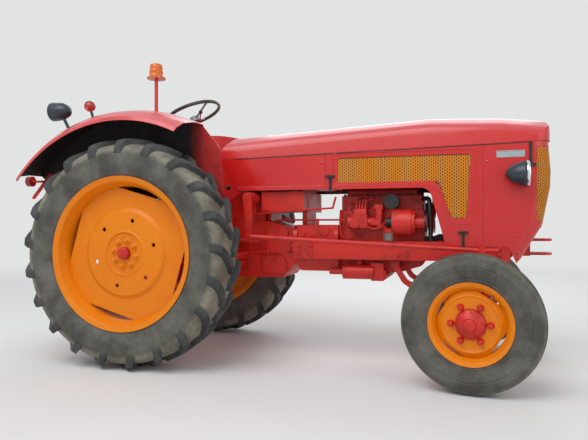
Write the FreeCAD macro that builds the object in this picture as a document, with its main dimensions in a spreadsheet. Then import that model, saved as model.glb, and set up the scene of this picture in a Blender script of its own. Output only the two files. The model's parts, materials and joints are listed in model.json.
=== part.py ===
import FreeCAD, Part
import math
import os
import Sketcher
from FreeCAD import Placement, Rotation, Vector

# A light row-crop farm tractor with a long bonnet, built from the rear axle forward.
# Millimetres, +X forward, +Y to the driver's left, +Z up, the ground at Z = 0.
# Lengths along the tractor are counted from the rear axle, and rear_axle_x puts that
# axle in the part's own frame, whose origin is on the ground in the middle of the machine.

doc = FreeCAD.newDocument("farm_tractor")

# Driving dimensions
SIZES = [
    # name, value, what it measures
    ("rear_axle_x", -822, "rear axle from the middle of the machine"),
    ("wheelbase", 2095, "rear axle to front axle"),
    # rear wheels
    ("rear_tyre_radius", 725, "rear tyre to the tips of its lugs"),
    ("rear_tyre_width", 315, "rear tyre across its lugs"),
    ("rear_lug_height", 33, "height of the rear tyre's lugs"),
    ("rear_lug_width", 46, "width of the rear tyre's lugs"),
    ("rear_track", 1336, "between the rear tyres' middle planes"),
    ("rear_bead_radius", 457, "rear bead seat"),
    ("rear_rim_width", 280, "rear rim over its flanges"),
    ("rear_flange_height", 26, "rear rim flange above the bead seat"),
    ("rear_well_depth", 27, "drop of the rear rim's well"),
    ("rear_rim_wall", 8, "thickness of the rear rim"),
    ("rear_flange_wall", 12, "thickness of the rear rim's flanges"),
    ("rear_disc_set", 88, "rear disc's face in from the rim's outer flange"),
    ("rear_disc_flat", 386, "axle to a flat of the rear disc"),
    ("rear_disc_wall", 10, "thickness of the rear disc"),
    ("rear_dish_radius", 288, "raised middle of the rear disc"),
    ("rear_dish_rise", 16, "how far the middle stands out"),
    ("rear_ring_radius", 138, "raised ring about the rear wheel bolts"),
    ("axle_flange_radius", 128, "half-shaft flange behind the disc"),
    ("axle_shaft_radius", 34, "half shaft"),
    ("axle_shaft_start", 300, "inner ends of the half shafts from the middle plane"),
    ("axle_cap_radius", 38, "cap in the middle of the rear disc"),
    ("running_gap", 0.3, "clearance between curved seats"),
    # front wheels
    ("front_tyre_radius", 378, "front tyre"),
    ("front_tyre_width", 175, "front tyre over its sidewalls"),
    ("front_rib_depth", 10, "depth of the front tyre's grooves"),
    ("front_track", 1314, "between the front tyres' middle planes"),
    ("front_bead_radius", 206, "front bead seat"),
    ("front_rim_width", 130, "front rim over its flanges"),
    ("front_flange_height", 17, "front rim flange above the bead seat"),
    ("front_well_depth", 18, "drop of the front rim's well"),
    ("front_rim_wall", 5, "thickness of the front rim"),
    ("front_flange_wall", 8, "thickness of the front rim's flanges"),
    ("front_disc_wall", 7, "thickness of the front disc"),
    ("front_disc_flat", 166, "axle to a flat of the front disc"),
    ("front_cap_radius", 80, "front hub's cap"),
    ("front_hub_reach", 62, "inner end of the front hub from the wheel's middle plane"),
    ("stub_radius", 22, "stub axle"),
    ("stud_circle", 205, "circle of the front wheel studs"),
    ("kingpin_y", 530, "kingpin from the middle plane"),
    ("kingpin_radius", 18, "kingpin"),
    ("steer_set", 7, "how far the front wheels are turned to the right"),
    ("kingpin_post", 24, "kingpin's post above the axle"),
    ("sleeve_radius", 34, "sleeves of the front axle about the kingpins"),
    ("sleeve_bottom", 440, "underside of the sleeves"),
    ("sleeve_height", 120, "height of the sleeves"),
    ("tie_arm", 140, "kingpin to the tie rod's ball"),
    ("tie_rod_radius", 13, "tie rod"),
    ("drag_arm", 110, "kingpin to the drag link's ball, towards the middle"),
    ("drag_arm_lead", 30, "how far that ball lies ahead of the kingpin"),
    ("drag_link_radius", 14, "drag link"),
    ("drag_link_front_z", 756, "drag link's height over its front ball"),
    ("drop_shaft_x", 691, "drop arm's shaft"),
    ("drop_shaft_z", 1085, "height of the drop arm's shaft"),
    ("drop_arm_length", 254, "drop arm between its centres"),
    ("drop_arm_y", 392, "drop arm from the middle plane"),
    ("drop_shaft_radius", 16, "drop arm's shaft"),
    ("ball_stud_radius", 8, "studs of the steering balls"),
    ("wheel_hub_x", 116, "steering wheel's hub"),
    ("wheel_hub_z", 1688, "height of the steering wheel's hub"),
    ("wheel_tilt", 21.4, "lean of the steering column from upright"),
    ("wheel_radius", 205, "steering wheel to the middle of its rim"),
    ("column_radius", 22, "steering column's tube"),
    ("column_shaft_radius", 10, "steering wheel's shaft"),
    # chassis
    ("rail_bottom", 684, "underside of the frame rails"),
    ("rail_top", 800, "top of the frame rails"),
    ("rail_wall", 12, "thickness of a rail's web and flanges"),
    ("rail_flange", 50, "width of a rail's flanges"),
    ("rail_front", 2300, "front ends of the rails"),
    ("bell_flange_x", 943, "rear face of the flange between gearbox and clutch housing"),
    ("bell_flange_wall", 27, "thickness of that flange"),
    ("engine_rear", 1250, "rear face of the engine"),
    ("engine_front", 1800, "front face of the engine"),
    ("block_half_width", 150, "half the width of the engine block"),
    ("gearbox_bottom", 547, "underside of the gearbox"),
    ("gearbox_half_width", 165, "half the width of the gearbox"),
    ("beam_top", 520, "top of the front axle beam"),
    ("beam_height", 84, "depth of the front axle beam"),
    ("axle_housing_radius", 74, "tubes of the rear axle"),
    ("housing_end", 560, "outer ends of the rear axle tubes from the middle plane"),
    ("lift_shaft_x", -120, "shaft of the lift arms"),
    ("lift_shaft_z", 985, "height of the lift arms' shaft"),
    ("lift_shaft_radius", 26, "shaft of the lift arms"),
    ("lift_arm_length", 300, "lift arms between their centres"),
    ("lift_arm_y", 235, "lift arms from the middle plane"),
    ("link_pivot_z", 480, "front pivots of the lower links"),
    ("link_pin_radius", 11, "pins of the lift linkage"),
    ("link_length", 760, "lower links from front pivot to rear ball"),
    ("link_ball_radius", 14.35, "bore of the lower links' balls"),
    # sheet metal
    ("lip_rear_z", 1351, "seam under the bonnet at its rear end"),
    ("lip_front_z", 1395, "seam under the bonnet at its front end"),
    ("body_half_width", 290, "half the width of the bonnet and side panels"),
    ("sheet_wall", 4, "thickness of the sheet metal as modelled"),
    ("battery_rear_x", 735, "rear end of the battery box"),
    ("hood_rear_x", 430, "bonnet's rear edge at the seam"),
    ("hood_pin_radius", 6, "pins that the bonnet tilts on"),
    ("hood_ear_radius", 16, "rounding of the bonnet's rear corners about those pins"),
    ("panel_bottom", 1132, "lower edge of the side panels"),
    ("panel_seam_x", 1187, "seam between the side panel and the vent panel"),
    ("nose_seam_x", 2150, "seam between the vent panel and the nose"),
    ("nose_front_x", 2527, "front of the nose"),
    ("arch_bottom", 772, "lower edge of the nose sides"),
    ("seam_gap", 1, "gap between neighbouring panels"),
    ("nose_corner", 90, "rounding of the nose in plan"),
    ("grille_bottom", 926, "lower edge of the grille"),
    ("grille_top", 1361, "upper edge of the grille"),
    ("grille_rear_x", 2445, "how far back the grille wraps round the nose"),
    ("fender_centre_x", -10, "middle of the fenders' arc"),
    ("fender_centre_z", 606, "height of that middle"),
    ("fender_room", 319, "fenders' crown at its inner edge out from the rear tyre's size"),
    ("fender_lip_room", 217, "fenders' outer lip out from the rear tyre's size"),
    ("fender_inside", 500, "fenders' inner walls from the middle plane"),
    ("fender_outside", 822, "fenders' outer lips from the middle plane"),
    ("fender_front_angle", 25, "front end of the fenders' arc from upright"),
    ("fender_rear_angle", 52, "rear end of the fenders' arc from upright"),
    ("fender_wall", 5, "thickness of the fenders"),
    ("lamp_radius", 79, "headlamps"),
    ("lamp_y", 385, "headlamps from the middle plane"),
    ("lamp_z", 1195, "height of the headlamps"),
    ("lamp_front_x", 2399, "front of the headlamps"),
    ("platform_z", 665, "top of the footboards"),
    ("beacon_x", 96, "beacon's pole"),
    ("beacon_y", 520, "beacon's pole from the middle plane"),
    ("beacon_top", 1967, "top of the beacon"),
]

sheet = doc.addObject("Spreadsheet::Sheet", "sizes")
for row, (alias, value, meaning) in enumerate(SIZES, 1):
    sheet.set(f"A{row}", alias)
    sheet.set(f"B{row}", str(value))
    sheet.set(f"C{row}", meaning)
    sheet.setAlias(f"B{row}", alias)
doc.recompute()


class Size:
    """A length: its number now, and the sheet expression that gives it."""

    def __init__(self, number, text):
        self.number = float(number)
        self.text = text

    def __add__(self, other):
        other = as_size(other)
        return Size(self.number + other.number, f"({self.text} + {other.text})")

    def __sub__(self, other):
        other = as_size(other)
        return Size(self.number - other.number, f"({self.text} - {other.text})")

    def __mul__(self, other):
        other = as_size(other)
        return Size(self.number * other.number, f"({self.text} * {other.text})")

    def __truediv__(self, other):
        other = as_size(other)
        return Size(self.number / other.number, f"({self.text} / {other.text})")

    def __neg__(self):
        return Size(-self.number, f"(0 - {self.text})")

    def __radd__(self, other):
        return as_size(other) + self

    def __rsub__(self, other):
        return as_size(other) - self

    def __rmul__(self, other):
        return as_size(other) * self


def as_size(value):
    """A plain number as a Size, so that both can be mixed."""
    return value if isinstance(value, Size) else Size(value, f"({float(value)})")


class Sizes:
    """The sheet's cells by name."""

    def __getattr__(self, alias):
        return Size(sheet.get(alias), f"sizes.{alias}")


S = Sizes()


def sine(angle):
    """Sine of a size in degrees."""
    return Size(math.sin(math.radians(angle.number)), f"sin({angle.text})")


def cosine(angle):
    """Cosine of a size in degrees."""
    return Size(math.cos(math.radians(angle.number)), f"cos({angle.text})")


SUB_PARTS = []


def bind(thing, path, value):
    """Tie one property of an object to the sheet."""
    thing.setExpression(path, as_size(value).text)


def place(thing, x, y, z, rotation=None):
    """Put an object in its place, turned first if a rotation is given."""
    where = [as_size(value) for value in (x, y, z)]
    thing.Placement = Placement(Vector(*[value.number for value in where]), rotation or Rotation())
    for letter, value in zip("xyz", where):
        thing.setExpression(f"Placement.Base.{letter}", value.text)
    return thing


def publish(thing, label, x=0, y=0, z=0, rotation=None):
    """Name a sub-part for its file and stand it on the tractor."""
    thing.Label = label
    place(thing, S.rear_axle_x + x, y, z, rotation)
    SUB_PARTS.append(thing)
    return thing


def mirror(thing, name):
    """The left-hand twin of a right-hand piece."""
    twin = doc.addObject("Part::Mirroring", name)
    twin.Source = thing
    twin.Normal = Vector(0, 1, 0)
    twin.Base = Vector(0, 0, 0)
    return twin


def publish_twin(thing, label):
    """A left-hand sub-part made from its right-hand one."""
    twin = mirror(thing, label)
    twin.Label = label
    SUB_PARTS.append(twin)
    return twin


def group(name, pieces):
    """Pieces that share a node as separate solids."""
    together = doc.addObject("Part::Compound", name)
    together.Links = pieces
    return together


def fuse(name, pieces):
    """Several pieces as one solid."""
    union = doc.addObject("Part::MultiFuse", name)
    union.Shapes = pieces
    union.Refine = True
    return union


def cut(name, base, tool):
    """A piece with another taken out of it."""
    rest = doc.addObject("Part::Cut", name)
    rest.Base = base
    rest.Tool = tool
    return rest


def common(name, first, second):
    """What two pieces share."""
    shared = doc.addObject("Part::Common", name)
    shared.Base = first
    shared.Tool = second
    return shared


def both_sides(name, right):
    """A right-hand piece and its left-hand twin."""
    return group(name, [right, mirror(right, f"{name}_twin")])


def box(name, x, y, z):
    """A block between two places on each axis."""
    block = doc.addObject("Part::Box", name)
    low = [as_size(span[0]) for span in (x, y, z)]
    for side, span in zip(("Length", "Width", "Height"), (x, y, z)):
        bind(block, side, as_size(span[1]) - span[0])
    return place(block, *low)


TURNS = {
    "X": Rotation(Vector(0, 1, 0), 90),
    "Y": Rotation(Vector(1, 0, 0), -90),
    "Z": Rotation(),
}


def drum(name, axis, start, length, radius):
    """A cylinder along an axis of the tractor."""
    body = doc.addObject("Part::Cylinder", name)
    bind(body, "Radius", radius)
    bind(body, "Height", length)
    return place(body, *start, TURNS[axis])


def rod(name, start, end, radius):
    """A round bar between two points."""
    start = [as_size(value) for value in start]
    end = [as_size(value) for value in end]
    squares = " + ".join(f"({far.text} - {near.text}) ^ 2" for near, far in zip(start, end))
    along = Vector(*[far.number - near.number for near, far in zip(start, end)])
    bar = doc.addObject("Part::Cylinder", name)
    bind(bar, "Radius", radius)
    bind(bar, "Height", Size(along.Length, f"sqrt({squares})"))
    return place(bar, *start, Rotation(Vector(0, 0, 1), along))


def ball(name, centre, radius):
    """A ball."""
    body = doc.addObject("Part::Sphere", name)
    bind(body, "Radius", radius)
    return place(body, *centre)


def origin_plane(body, role):
    """One of a body's own origin planes."""
    return [feature for feature in body.Origin.OriginFeatures if feature.Role == role][0]


PLANES = {"side": "XZ_Plane", "plan": "XY_Plane", "across": "YZ_Plane"}


def corner_values(corner):
    """A corner as two sizes and a rounding radius."""
    radius = as_size(corner[2]) if len(corner) > 2 else None
    return as_size(corner[0]), as_size(corner[1]), radius


def add_outline(sketch, corners):
    """Draw a closed outline whose corners are (across, up) or (across, up, radius)."""
    values = [corner_values(corner) for corner in corners]
    points = [Vector(across.number, up.number, 0) for across, up, radius in values]
    count = len(points)
    first = sketch.GeometryCount
    geometry = []
    before = []
    after = []
    arcs = {}
    for index, (across, up, radius) in enumerate(values):
        point = points[index]
        if radius is None:
            before.append(point)
            after.append(point)
            continue
        back = (points[index - 1] - point).normalize()
        ahead = (points[(index + 1) % count] - point).normalize()
        half = back.getAngle(ahead) / 2
        reach = radius.number / math.tan(half)
        middle = point + (back + ahead).normalize() * (radius.number / math.sin(half))
        before.append(point + back * reach)
        after.append(point + ahead * reach)
        arcs[index] = middle
    for index in range(count):
        geometry.append(Part.LineSegment(after[index], before[(index + 1) % count]))
    rules = []
    ties = {}
    for index, (across, up, radius) in enumerate(values):
        line_in = first + (index - 1) % count
        line_out = first + index
        if radius is None:
            rules.append(Sketcher.Constraint("Coincident", line_in, 2, line_out, 1))
            holder = line_out
        else:
            middle = arcs[index]
            start = math.atan2(before[index].y - middle.y, before[index].x - middle.x)
            end = math.atan2(after[index].y - middle.y, after[index].x - middle.x)
            turn = (end - start) % (2 * math.pi)
            round_left = turn < math.pi
            span = (start, end) if round_left else (end, start)
            circle = Part.Circle(middle, Vector(0, 0, 1), radius.number)
            arc = first + len(geometry)
            geometry.append(Part.ArcOfCircle(circle, *span))
            in_end, out_end = (1, 2) if round_left else (2, 1)
            rules.append(Sketcher.Constraint("Tangent", line_in, 2, arc, in_end))
            rules.append(Sketcher.Constraint("Tangent", arc, out_end, line_out, 1))
            ties[len(rules)] = radius.text
            rules.append(Sketcher.Constraint("Radius", arc, radius.number))
            holder = first + len(geometry)
            geometry.append(Part.Point(points[index]))
            rules.append(Sketcher.Constraint("PointOnObject", holder, 1, line_in))
            rules.append(Sketcher.Constraint("PointOnObject", holder, 1, line_out))
        for letter, value in (("X", across), ("Y", up)):
            ties[len(rules)] = value.text
            rules.append(Sketcher.Constraint(f"Distance{letter}", -1, 1, holder, 1, value.number))
    sketch.addGeometry(geometry, False)
    for number, piece in enumerate(geometry, first):
        if isinstance(piece, Part.Point):
            sketch.toggleConstruction(number)
    offset = sketch.ConstraintCount
    sketch.addConstraint(rules)
    for number, text in ties.items():
        sketch.setExpression(f"Constraints[{offset + number}]", text)


def add_circle(sketch, across, up, radius):
    """Draw a circle in a sketch."""
    across, up, radius = as_size(across), as_size(up), as_size(radius)
    number = sketch.GeometryCount
    offset = sketch.ConstraintCount
    centre = Vector(across.number, up.number, 0)
    sketch.addGeometry(Part.Circle(centre, Vector(0, 0, 1), radius.number), False)
    sketch.addConstraint([
        Sketcher.Constraint("DistanceX", -1, 1, number, 3, across.number),
        Sketcher.Constraint("DistanceY", -1, 1, number, 3, up.number),
        Sketcher.Constraint("Radius", number, radius.number),
    ])
    for step, value in enumerate((across, up, radius)):
        sketch.setExpression(f"Constraints[{offset + step}]", value.text)


def draw(body, view, loops, level=0):
    """A sketch on a plane of the body: each loop is a list of corners or a circle's three values."""
    sketch = body.newObject("Sketcher::SketchObject", f"{body.Name}_outline")
    sketch.AttachmentSupport = [(origin_plane(body, PLANES[view]), "")]
    sketch.MapMode = "FlatFace"
    bind(sketch, "AttachmentOffset.Base.z", level)
    for loop in loops:
        if isinstance(loop, tuple):
            add_circle(sketch, *loop)
        else:
            add_outline(sketch, loop)
    return sketch


def new_body(name):
    """An empty body."""
    return doc.addObject("PartDesign::Body", name)


def add_pad(body, view, loops, low, high):
    """Pad an outline across its plane from one place to another."""
    low, high = as_size(low), as_size(high)
    level = -high if view == "side" else low
    pad = body.newObject("PartDesign::Pad", f"{body.Name}_pad")
    pad.Profile = draw(body, view, loops, level)
    bind(pad, "Length", high - low)
    body.Tip = pad
    return pad


def prism(name, view, loops, low, high):
    """A body padded from an outline seen from the side, in plan or across the tractor."""
    body = new_body(name)
    add_pad(body, view, loops, low, high)
    return body


def add_turning(body, profile, kind="PartDesign::Revolution"):
    """Turn a profile, given as (along Y, radius), about the body's Y axis."""
    turning = body.newObject(kind, f"{body.Name}_turning")
    sketch = draw(body, "across", [profile])
    turning.Profile = sketch
    turning.ReferenceAxis = (sketch, ["H_Axis"])
    turning.Angle = 360
    body.Tip = turning
    return turning


def turned(name, profile):
    """A body turned about its own Y axis."""
    body = new_body(name)
    add_turning(body, profile)
    return body


def add_turns_about_y(body, features, count):
    """Repeat features all round the body's Y axis."""
    pattern = body.newObject("PartDesign::PolarPattern", f"{body.Name}_pattern")
    pattern.Originals = features
    pattern.Axis = (origin_plane(body, "Y_Axis"), [""])
    pattern.Angle = 360
    pattern.Occurrences = count
    body.Tip = pattern
    return pattern


def add_segment(body, profile, count):
    """The top one of a ring's like flat-sided segments: a bar mitred at both ends."""
    pad = body.newObject("PartDesign::Pad", f"{body.Name}_segment")
    pad.Profile = draw(body, "across", [profile])
    mitres = []
    for angle in (180 / count, -180 / count):
        mitre = body.newObject("PartDesign::Plane", f"{body.Name}_mitre")
        mitre.AttachmentSupport = [(origin_plane(body, PLANES["across"]), "")]
        mitre.MapMode = "FlatFace"
        mitre.AttachmentOffset = Placement(Vector(), Rotation(Vector(1, 0, 0), angle))
        mitres.append(mitre)
    pad.SideType = "Two sides"
    pad.Type = "UpToFace"
    pad.Type2 = "UpToFace"
    pad.UpToFace = (mitres[0], [""])
    pad.UpToFace2 = (mitres[1], [""])
    body.Tip = pad
    return pad


# Rear wheels, drawn about their own axle with the outer side at -Y

rear_wheel_y = -S.rear_track / 2


REAR_LUGS = 21
rear_lug_half_pitch = Size(180 / REAR_LUGS, f"(180 / {REAR_LUGS})")


def rear_tyre():
    """The tyre in flat-sided segments, each with one slanted lug on either side."""
    bead = S.rear_rim_width / 2 - S.rear_flange_wall - S.running_gap
    wall = S.rear_tyre_width / 2
    seat = S.rear_bead_radius + S.running_gap
    crown = S.rear_tyre_radius - S.rear_lug_height
    carcass = wall - 4
    tyre = new_body("rear_tyre")
    segment = add_segment(tyre, [
        (-bead, seat),
        (-bead, seat + 30),
        (-carcass, seat + 92),
        (-carcass, crown - 50),
        (-carcass + 24, crown),
        (carcass - 24, crown),
        (carcass, crown - 50),
        (carcass, seat + 92),
        (bead, seat + 30),
        (bead, seat),
    ], REAR_LUGS)
    rear = -S.rear_tyre_radius * sine(rear_lug_half_pitch)
    top = S.rear_tyre_radius * cosine(rear_lug_half_pitch)
    foot = crown - 48
    lugs = []
    for side, swing in ((-1, Size(0, "0")), (1, rear_lug_half_pitch)):
        outline = [
            (rear, side * wall), (rear + S.rear_lug_width + 8, side * wall),
            (rear + S.rear_tyre_width / 2 + S.rear_lug_width, side * 8),
            (rear + S.rear_tyre_width / 2, side * 8),
        ]
        lug = add_pad(tyre, "plan", [outline[::-side]], 0, top - foot)
        sketch = lug.Profile[0]
        sketch.AttachmentOffset = Placement(Vector(), Rotation(Vector(0, 1, 0), swing.number))
        bind(sketch, "AttachmentOffset.Base.x", foot * sine(swing))
        bind(sketch, "AttachmentOffset.Base.z", foot * cosine(swing))
        lugs.append(lug)
    add_turns_about_y(tyre, [segment, *lugs], REAR_LUGS)
    return tyre


publish(rear_tyre(), "rear_tyre_right", 0, rear_wheel_y, S.rear_tyre_radius)


def rim_barrel(name, width, seat, flange, well_depth, wall, flange_wall, slope):
    """A rolled rim: flanges, bead seats and a well."""
    half = width / 2
    well = seat - well_depth
    profile = [
        (-half, seat + flange),
        (-half + flange_wall, seat - wall),
        (-half + slope, well - wall),
        (half - slope, well - wall),
        (half - flange_wall, seat - wall),
        (half, seat + flange),
        (half - flange_wall, seat + flange),
        (half - flange_wall, seat),
        (half - slope - wall, well),
        (-half + slope + wall, well),
        (-half + flange_wall, seat),
        (-half + flange_wall, seat + flange),
    ]
    return turned(name, profile)


def rear_barrel():
    """The rear rim's barrel."""
    return rim_barrel("rear_barrel", S.rear_rim_width, S.rear_bead_radius, S.rear_flange_height,
                      S.rear_well_depth, S.rear_rim_wall, S.rear_flange_wall, S.rear_rim_width / 4)


rear_disc_y = -S.rear_rim_width / 2 + S.rear_disc_set
rear_well_inside = S.rear_bead_radius - S.rear_well_depth - S.rear_rim_wall


def rear_disc():
    """The pressed disc: a raised middle, four flats, hand holes and a bolt circle."""
    face = rear_disc_y
    wall = S.rear_disc_wall
    rise = S.rear_dish_rise
    dish = S.rear_dish_radius
    ring = S.rear_ring_radius
    pressed = turned("rear_dish", [
        (face - rise + 5, S.axle_cap_radius + 1),
        (face - rise + 5, ring - 12),
        (face - rise - 5, ring - 6),
        (face - rise - 5, ring),
        (face - rise, ring + 6),
        (face - rise, dish - 24),
        (face, dish),
        (face, rear_well_inside + 2),
        (face + wall, rear_well_inside + 2),
        (face + wall, dish - 3),
        (face - rise + wall, dish - 27),
        (face - rise + wall, S.axle_cap_radius + 1),
    ])
    flats = S.rear_disc_flat
    block = box("rear_disc_flats", (-flats, flats), (face - 60, face + 60), (-flats, flats))
    square = group("rear_disc_square", [block])
    square.Placement = Placement(Vector(), Rotation(Vector(0, 1, 0), 16))
    lobes = common("rear_disc_lobes", pressed, square)
    holes = new_body("rear_disc_holes")
    low, high = face - 60, face + 60
    hand_hole = add_pad(holes, "side", [(0, 211, 13)], low, high)
    add_turns_about_y(holes, [hand_hole], 6)
    holes.Placement = Placement(Vector(), Rotation(Vector(0, 1, 0), 15))
    return cut("rear_disc_drilled", lobes, holes)


rear_rim = fuse("rear_rim", [rear_barrel(), rear_disc()])
publish(rear_rim, "rear_rim_right", 0, rear_wheel_y, S.rear_tyre_radius)


def rear_axle_shaft():
    """The half shaft with its flange, its cap and the heads of the wheel bolts."""
    back = rear_disc_y - S.rear_dish_rise + S.rear_disc_wall
    shaft_end = S.rear_track / 2 - S.axle_shaft_start
    flange = new_body("axle_flange")
    add_turning(flange, [
        (shaft_end, 0),
        (shaft_end, S.axle_shaft_radius),
        (back + 22, S.axle_shaft_radius),
        (back + 22, S.axle_flange_radius),
        (back, S.axle_flange_radius),
        (back, S.axle_cap_radius),
        (back - S.rear_disc_wall - 22, S.axle_cap_radius),
        (back - S.rear_disc_wall - 28, S.axle_cap_radius - 6),
        (back - S.rear_disc_wall - 28, 0),
    ])
    return flange


publish(rear_axle_shaft(), "rear_axle_shaft_right", 0, rear_wheel_y, S.rear_tyre_radius)

# Front wheels, drawn about their own axle with the outer side at -Y

front_wheel_y = -S.front_track / 2


FRONT_SEGMENTS = 31


def front_tyre():
    """A steering tyre in flat-sided segments, with grooves between its ribs."""
    bead = S.front_rim_width / 2 - S.front_flange_wall - S.running_gap
    wall = S.front_tyre_width / 2
    seat = S.front_bead_radius + S.running_gap
    crown = S.front_tyre_radius * cosine(Size(180 / FRONT_SEGMENTS, f"(180 / {FRONT_SEGMENTS})"))
    half = [
        (20, crown),
        (26, crown - S.front_rib_depth),
        (32, crown - 2),
        (wall - 26, crown - 10),
        (wall, crown - 62),
        (wall, seat + 62),
        (bead, seat + 22),
        (bead, seat),
    ]
    tyre = new_body("front_tyre")
    add_turns_about_y(tyre, [add_segment(tyre, [(-across, up) for across, up in half[::-1]] + half,
                                         FRONT_SEGMENTS)], FRONT_SEGMENTS)
    return tyre


front_disc_y = -30


def front_rim():
    """The front rim with its pressed disc, which has four flats."""
    well = S.front_bead_radius - S.front_well_depth - S.front_rim_wall
    barrel = rim_barrel("front_barrel", S.front_rim_width, S.front_bead_radius, S.front_flange_height,
                        S.front_well_depth, S.front_rim_wall, S.front_flange_wall,
                        S.front_rim_width / 4)
    disc = S.front_disc_wall
    face = front_disc_y
    ring = S.stud_circle / 2
    dish = turned("front_dish", [
        (face - 8, S.front_cap_radius + 1),
        (face - 8, ring + 40),
        (face - 14, ring + 48),
        (face, ring + 62),
        (face + 12, well + 2),
        (face + 12 + disc, well + 2),
        (face + disc, ring + 60),
        (face - 8 + disc, ring + 38),
        (face - 8 + disc, S.front_cap_radius + 1),
    ])
    flats = S.front_disc_flat
    block = box("front_disc_flats", (-flats, flats), (face - 60, face + 60), (-flats, flats))
    square = group("front_disc_square", [block])
    square.Placement = Placement(Vector(), Rotation(Vector(0, 1, 0), 33))
    return fuse("front_rim", [barrel, common("front_disc", dish, square)])


def front_hub():
    """The hub drum with its flange and domed cap."""
    back = front_disc_y - 8 + S.front_disc_wall
    ring = S.stud_circle / 2
    cap = S.front_cap_radius
    return turned("front_hub", [
        (S.front_hub_reach, S.stub_radius + S.running_gap),
        (S.front_hub_reach, 44),
        (back + 14, 50),
        (back + 14, ring + 16),
        (back, ring + 16),
        (back, cap),
        (back - 22, cap),
        (back - 42, 52),
        (back - 48, 34),
        (back - 66, 32),
        (back - 70, 0),
        (back - 30, 0),
        (back - 30, S.stub_radius + S.running_gap),
    ])


front_wheel_z = S.front_tyre_radius


def steered(side, ahead, left, height):
    """A point given from a kingpin with the wheels straight, where it lies with them turned."""
    turn_sine, turn_cosine = sine(S.steer_set), cosine(S.steer_set)
    x = S.wheelbase + as_size(ahead) * turn_cosine + as_size(left) * turn_sine
    y = side * S.kingpin_y - as_size(ahead) * turn_sine + as_size(left) * turn_cosine
    return x, y, as_size(height)


STEERED = Rotation(Vector(0, 0, 1), -S.steer_set.number)
wheel_out = S.front_track / 2 - S.kingpin_y


def publish_steered(shape, name):
    """A right-hand piece of a steered wheel and its left-hand twin, both turned with the steering."""
    right = group(f"{name}_right", [shape])
    publish(right, f"{name}_right", *steered(-1, 0, -wheel_out, front_wheel_z), STEERED)
    left = mirror(shape, f"{name}_left")
    publish(left, f"{name}_left", *steered(1, 0, wheel_out, front_wheel_z), STEERED)


for shape, name in ((front_tyre(), "front_tyre"), (front_rim(), "front_rim"), (front_hub(), "front_hub")):
    publish_steered(shape, name)

for name in ("rear_tyre", "rear_rim", "rear_axle_shaft"):
    right = [thing for thing in SUB_PARTS if thing.Label == f"{name}_right"][0]
    publish_twin(right, f"{name}_left")

# Steering knuckles, drawn about the kingpin with the wheels straight, Z from the ground

stub_end = wheel_out + front_disc_y - 8 + S.front_disc_wall - 28
collar_low = S.sleeve_bottom + S.sleeve_height + 2
tie_arm_wall = 20
drag_arm_wall = 14
drag_eye_gap = 0.8
drag_arm_top = S.drag_link_front_z - S.drag_link_radius - drag_eye_gap


def knuckle(name, with_drag_arm):
    """A kingpin with its stub axle and steering arms; the wheel is at -Y."""
    pieces = [
        drum(f"{name}_boss", "Z", (0, 0, front_wheel_z - 36), S.sleeve_bottom - 2 - front_wheel_z + 36,
             S.sleeve_radius),
        drum(f"{name}_pin", "Z", (0, 0, S.sleeve_bottom - 10), S.sleeve_height + 30, S.kingpin_radius),
        drum(f"{name}_stub", "Y", (0, -stub_end, front_wheel_z), stub_end, S.stub_radius),
        drum(f"{name}_collar", "Z", (0, 0, collar_low), 30, S.sleeve_radius - 2),
        prism(f"{name}_tie_arm", "plan", [[
            (8, -26), (8, 26), (-S.tie_arm, 19), (-S.tie_arm - 19, 0), (-S.tie_arm, -19),
        ]], collar_low + 4, collar_low + 4 + tie_arm_wall),
    ]
    if with_drag_arm:
        post_height = drag_arm_top - collar_low - 20
        pieces.append(drum(f"{name}_post", "Z", (0, 0, collar_low + 20), post_height, S.kingpin_post))
        lead, reach = S.drag_arm_lead, S.drag_arm
        pieces.append(prism(f"{name}_drag_arm", "plan", [[
            (-26, -10), (26, -14), (lead + 18, reach - 6), (lead + 10, reach + 18),
            (lead - 10, reach + 18), (lead - 20, reach),
        ]], drag_arm_top - drag_arm_wall, drag_arm_top))
    return fuse(name, pieces)


knuckle_right = group("knuckle_right", [knuckle("right_knuckle", True)])
publish(knuckle_right, "knuckle_right", *steered(-1, 0, 0, 0), STEERED)
knuckle_left = mirror(knuckle("left_knuckle", False), "knuckle_left")
publish(knuckle_left, "knuckle_left", *steered(1, 0, 0, 0), STEERED)

tie_rod_z = collar_low + 4 + tie_arm_wall + S.running_gap + 14


def tie_rod():
    """The rod between the knuckles' rear arms, with an eye over each."""
    ends = [steered(side, -S.tie_arm, 0, tie_rod_z) for side in (-1, 1)]
    eyes = [drum(f"tie_rod_eye_{side}", "Z", (end[0], end[1], tie_rod_z - 14), 28, 19)
            for side, end in zip(("right", "left"), ends)]
    return fuse("tie_rod", [rod("tie_rod_bar", *ends, S.tie_rod_radius), *eyes])


publish(tie_rod(), "tie_rod")

drag_link_y = S.drop_arm_y + 28
drop_ball_x = S.drop_shaft_x + 15
drop_ball_z = S.drop_shaft_z - S.drop_arm_length


def drag_link():
    """The long rod from the drop arm to the right knuckle, with a socket at each end."""
    rear = (drop_ball_x, -drag_link_y, drop_ball_z)
    front = steered(-1, S.drag_arm_lead, S.drag_arm, S.drag_link_front_z)
    tip = (front[0] + 92, front[1], front[2])
    socket = drum("drag_link_socket", "Y", (rear[0], -drag_link_y - 14, rear[2]), 28, 21)
    bore = drum("drag_link_bore", "Y", (rear[0], -drag_link_y - 15, rear[2]), 30,
                S.ball_stud_radius + S.running_gap)
    eye = drum("drag_link_eye", "Z", (front[0], front[1], front[2] - S.drag_link_radius), 36, 20)
    bar = fuse("drag_link_rod", [
        rod("drag_link_bar", rear, front, S.drag_link_radius),
        rod("drag_link_tube", front, tip, S.drag_link_radius),
        socket,
        eye,
    ])
    return cut("drag_link", bar, bore)


publish(drag_link(), "drag_link")


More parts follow.
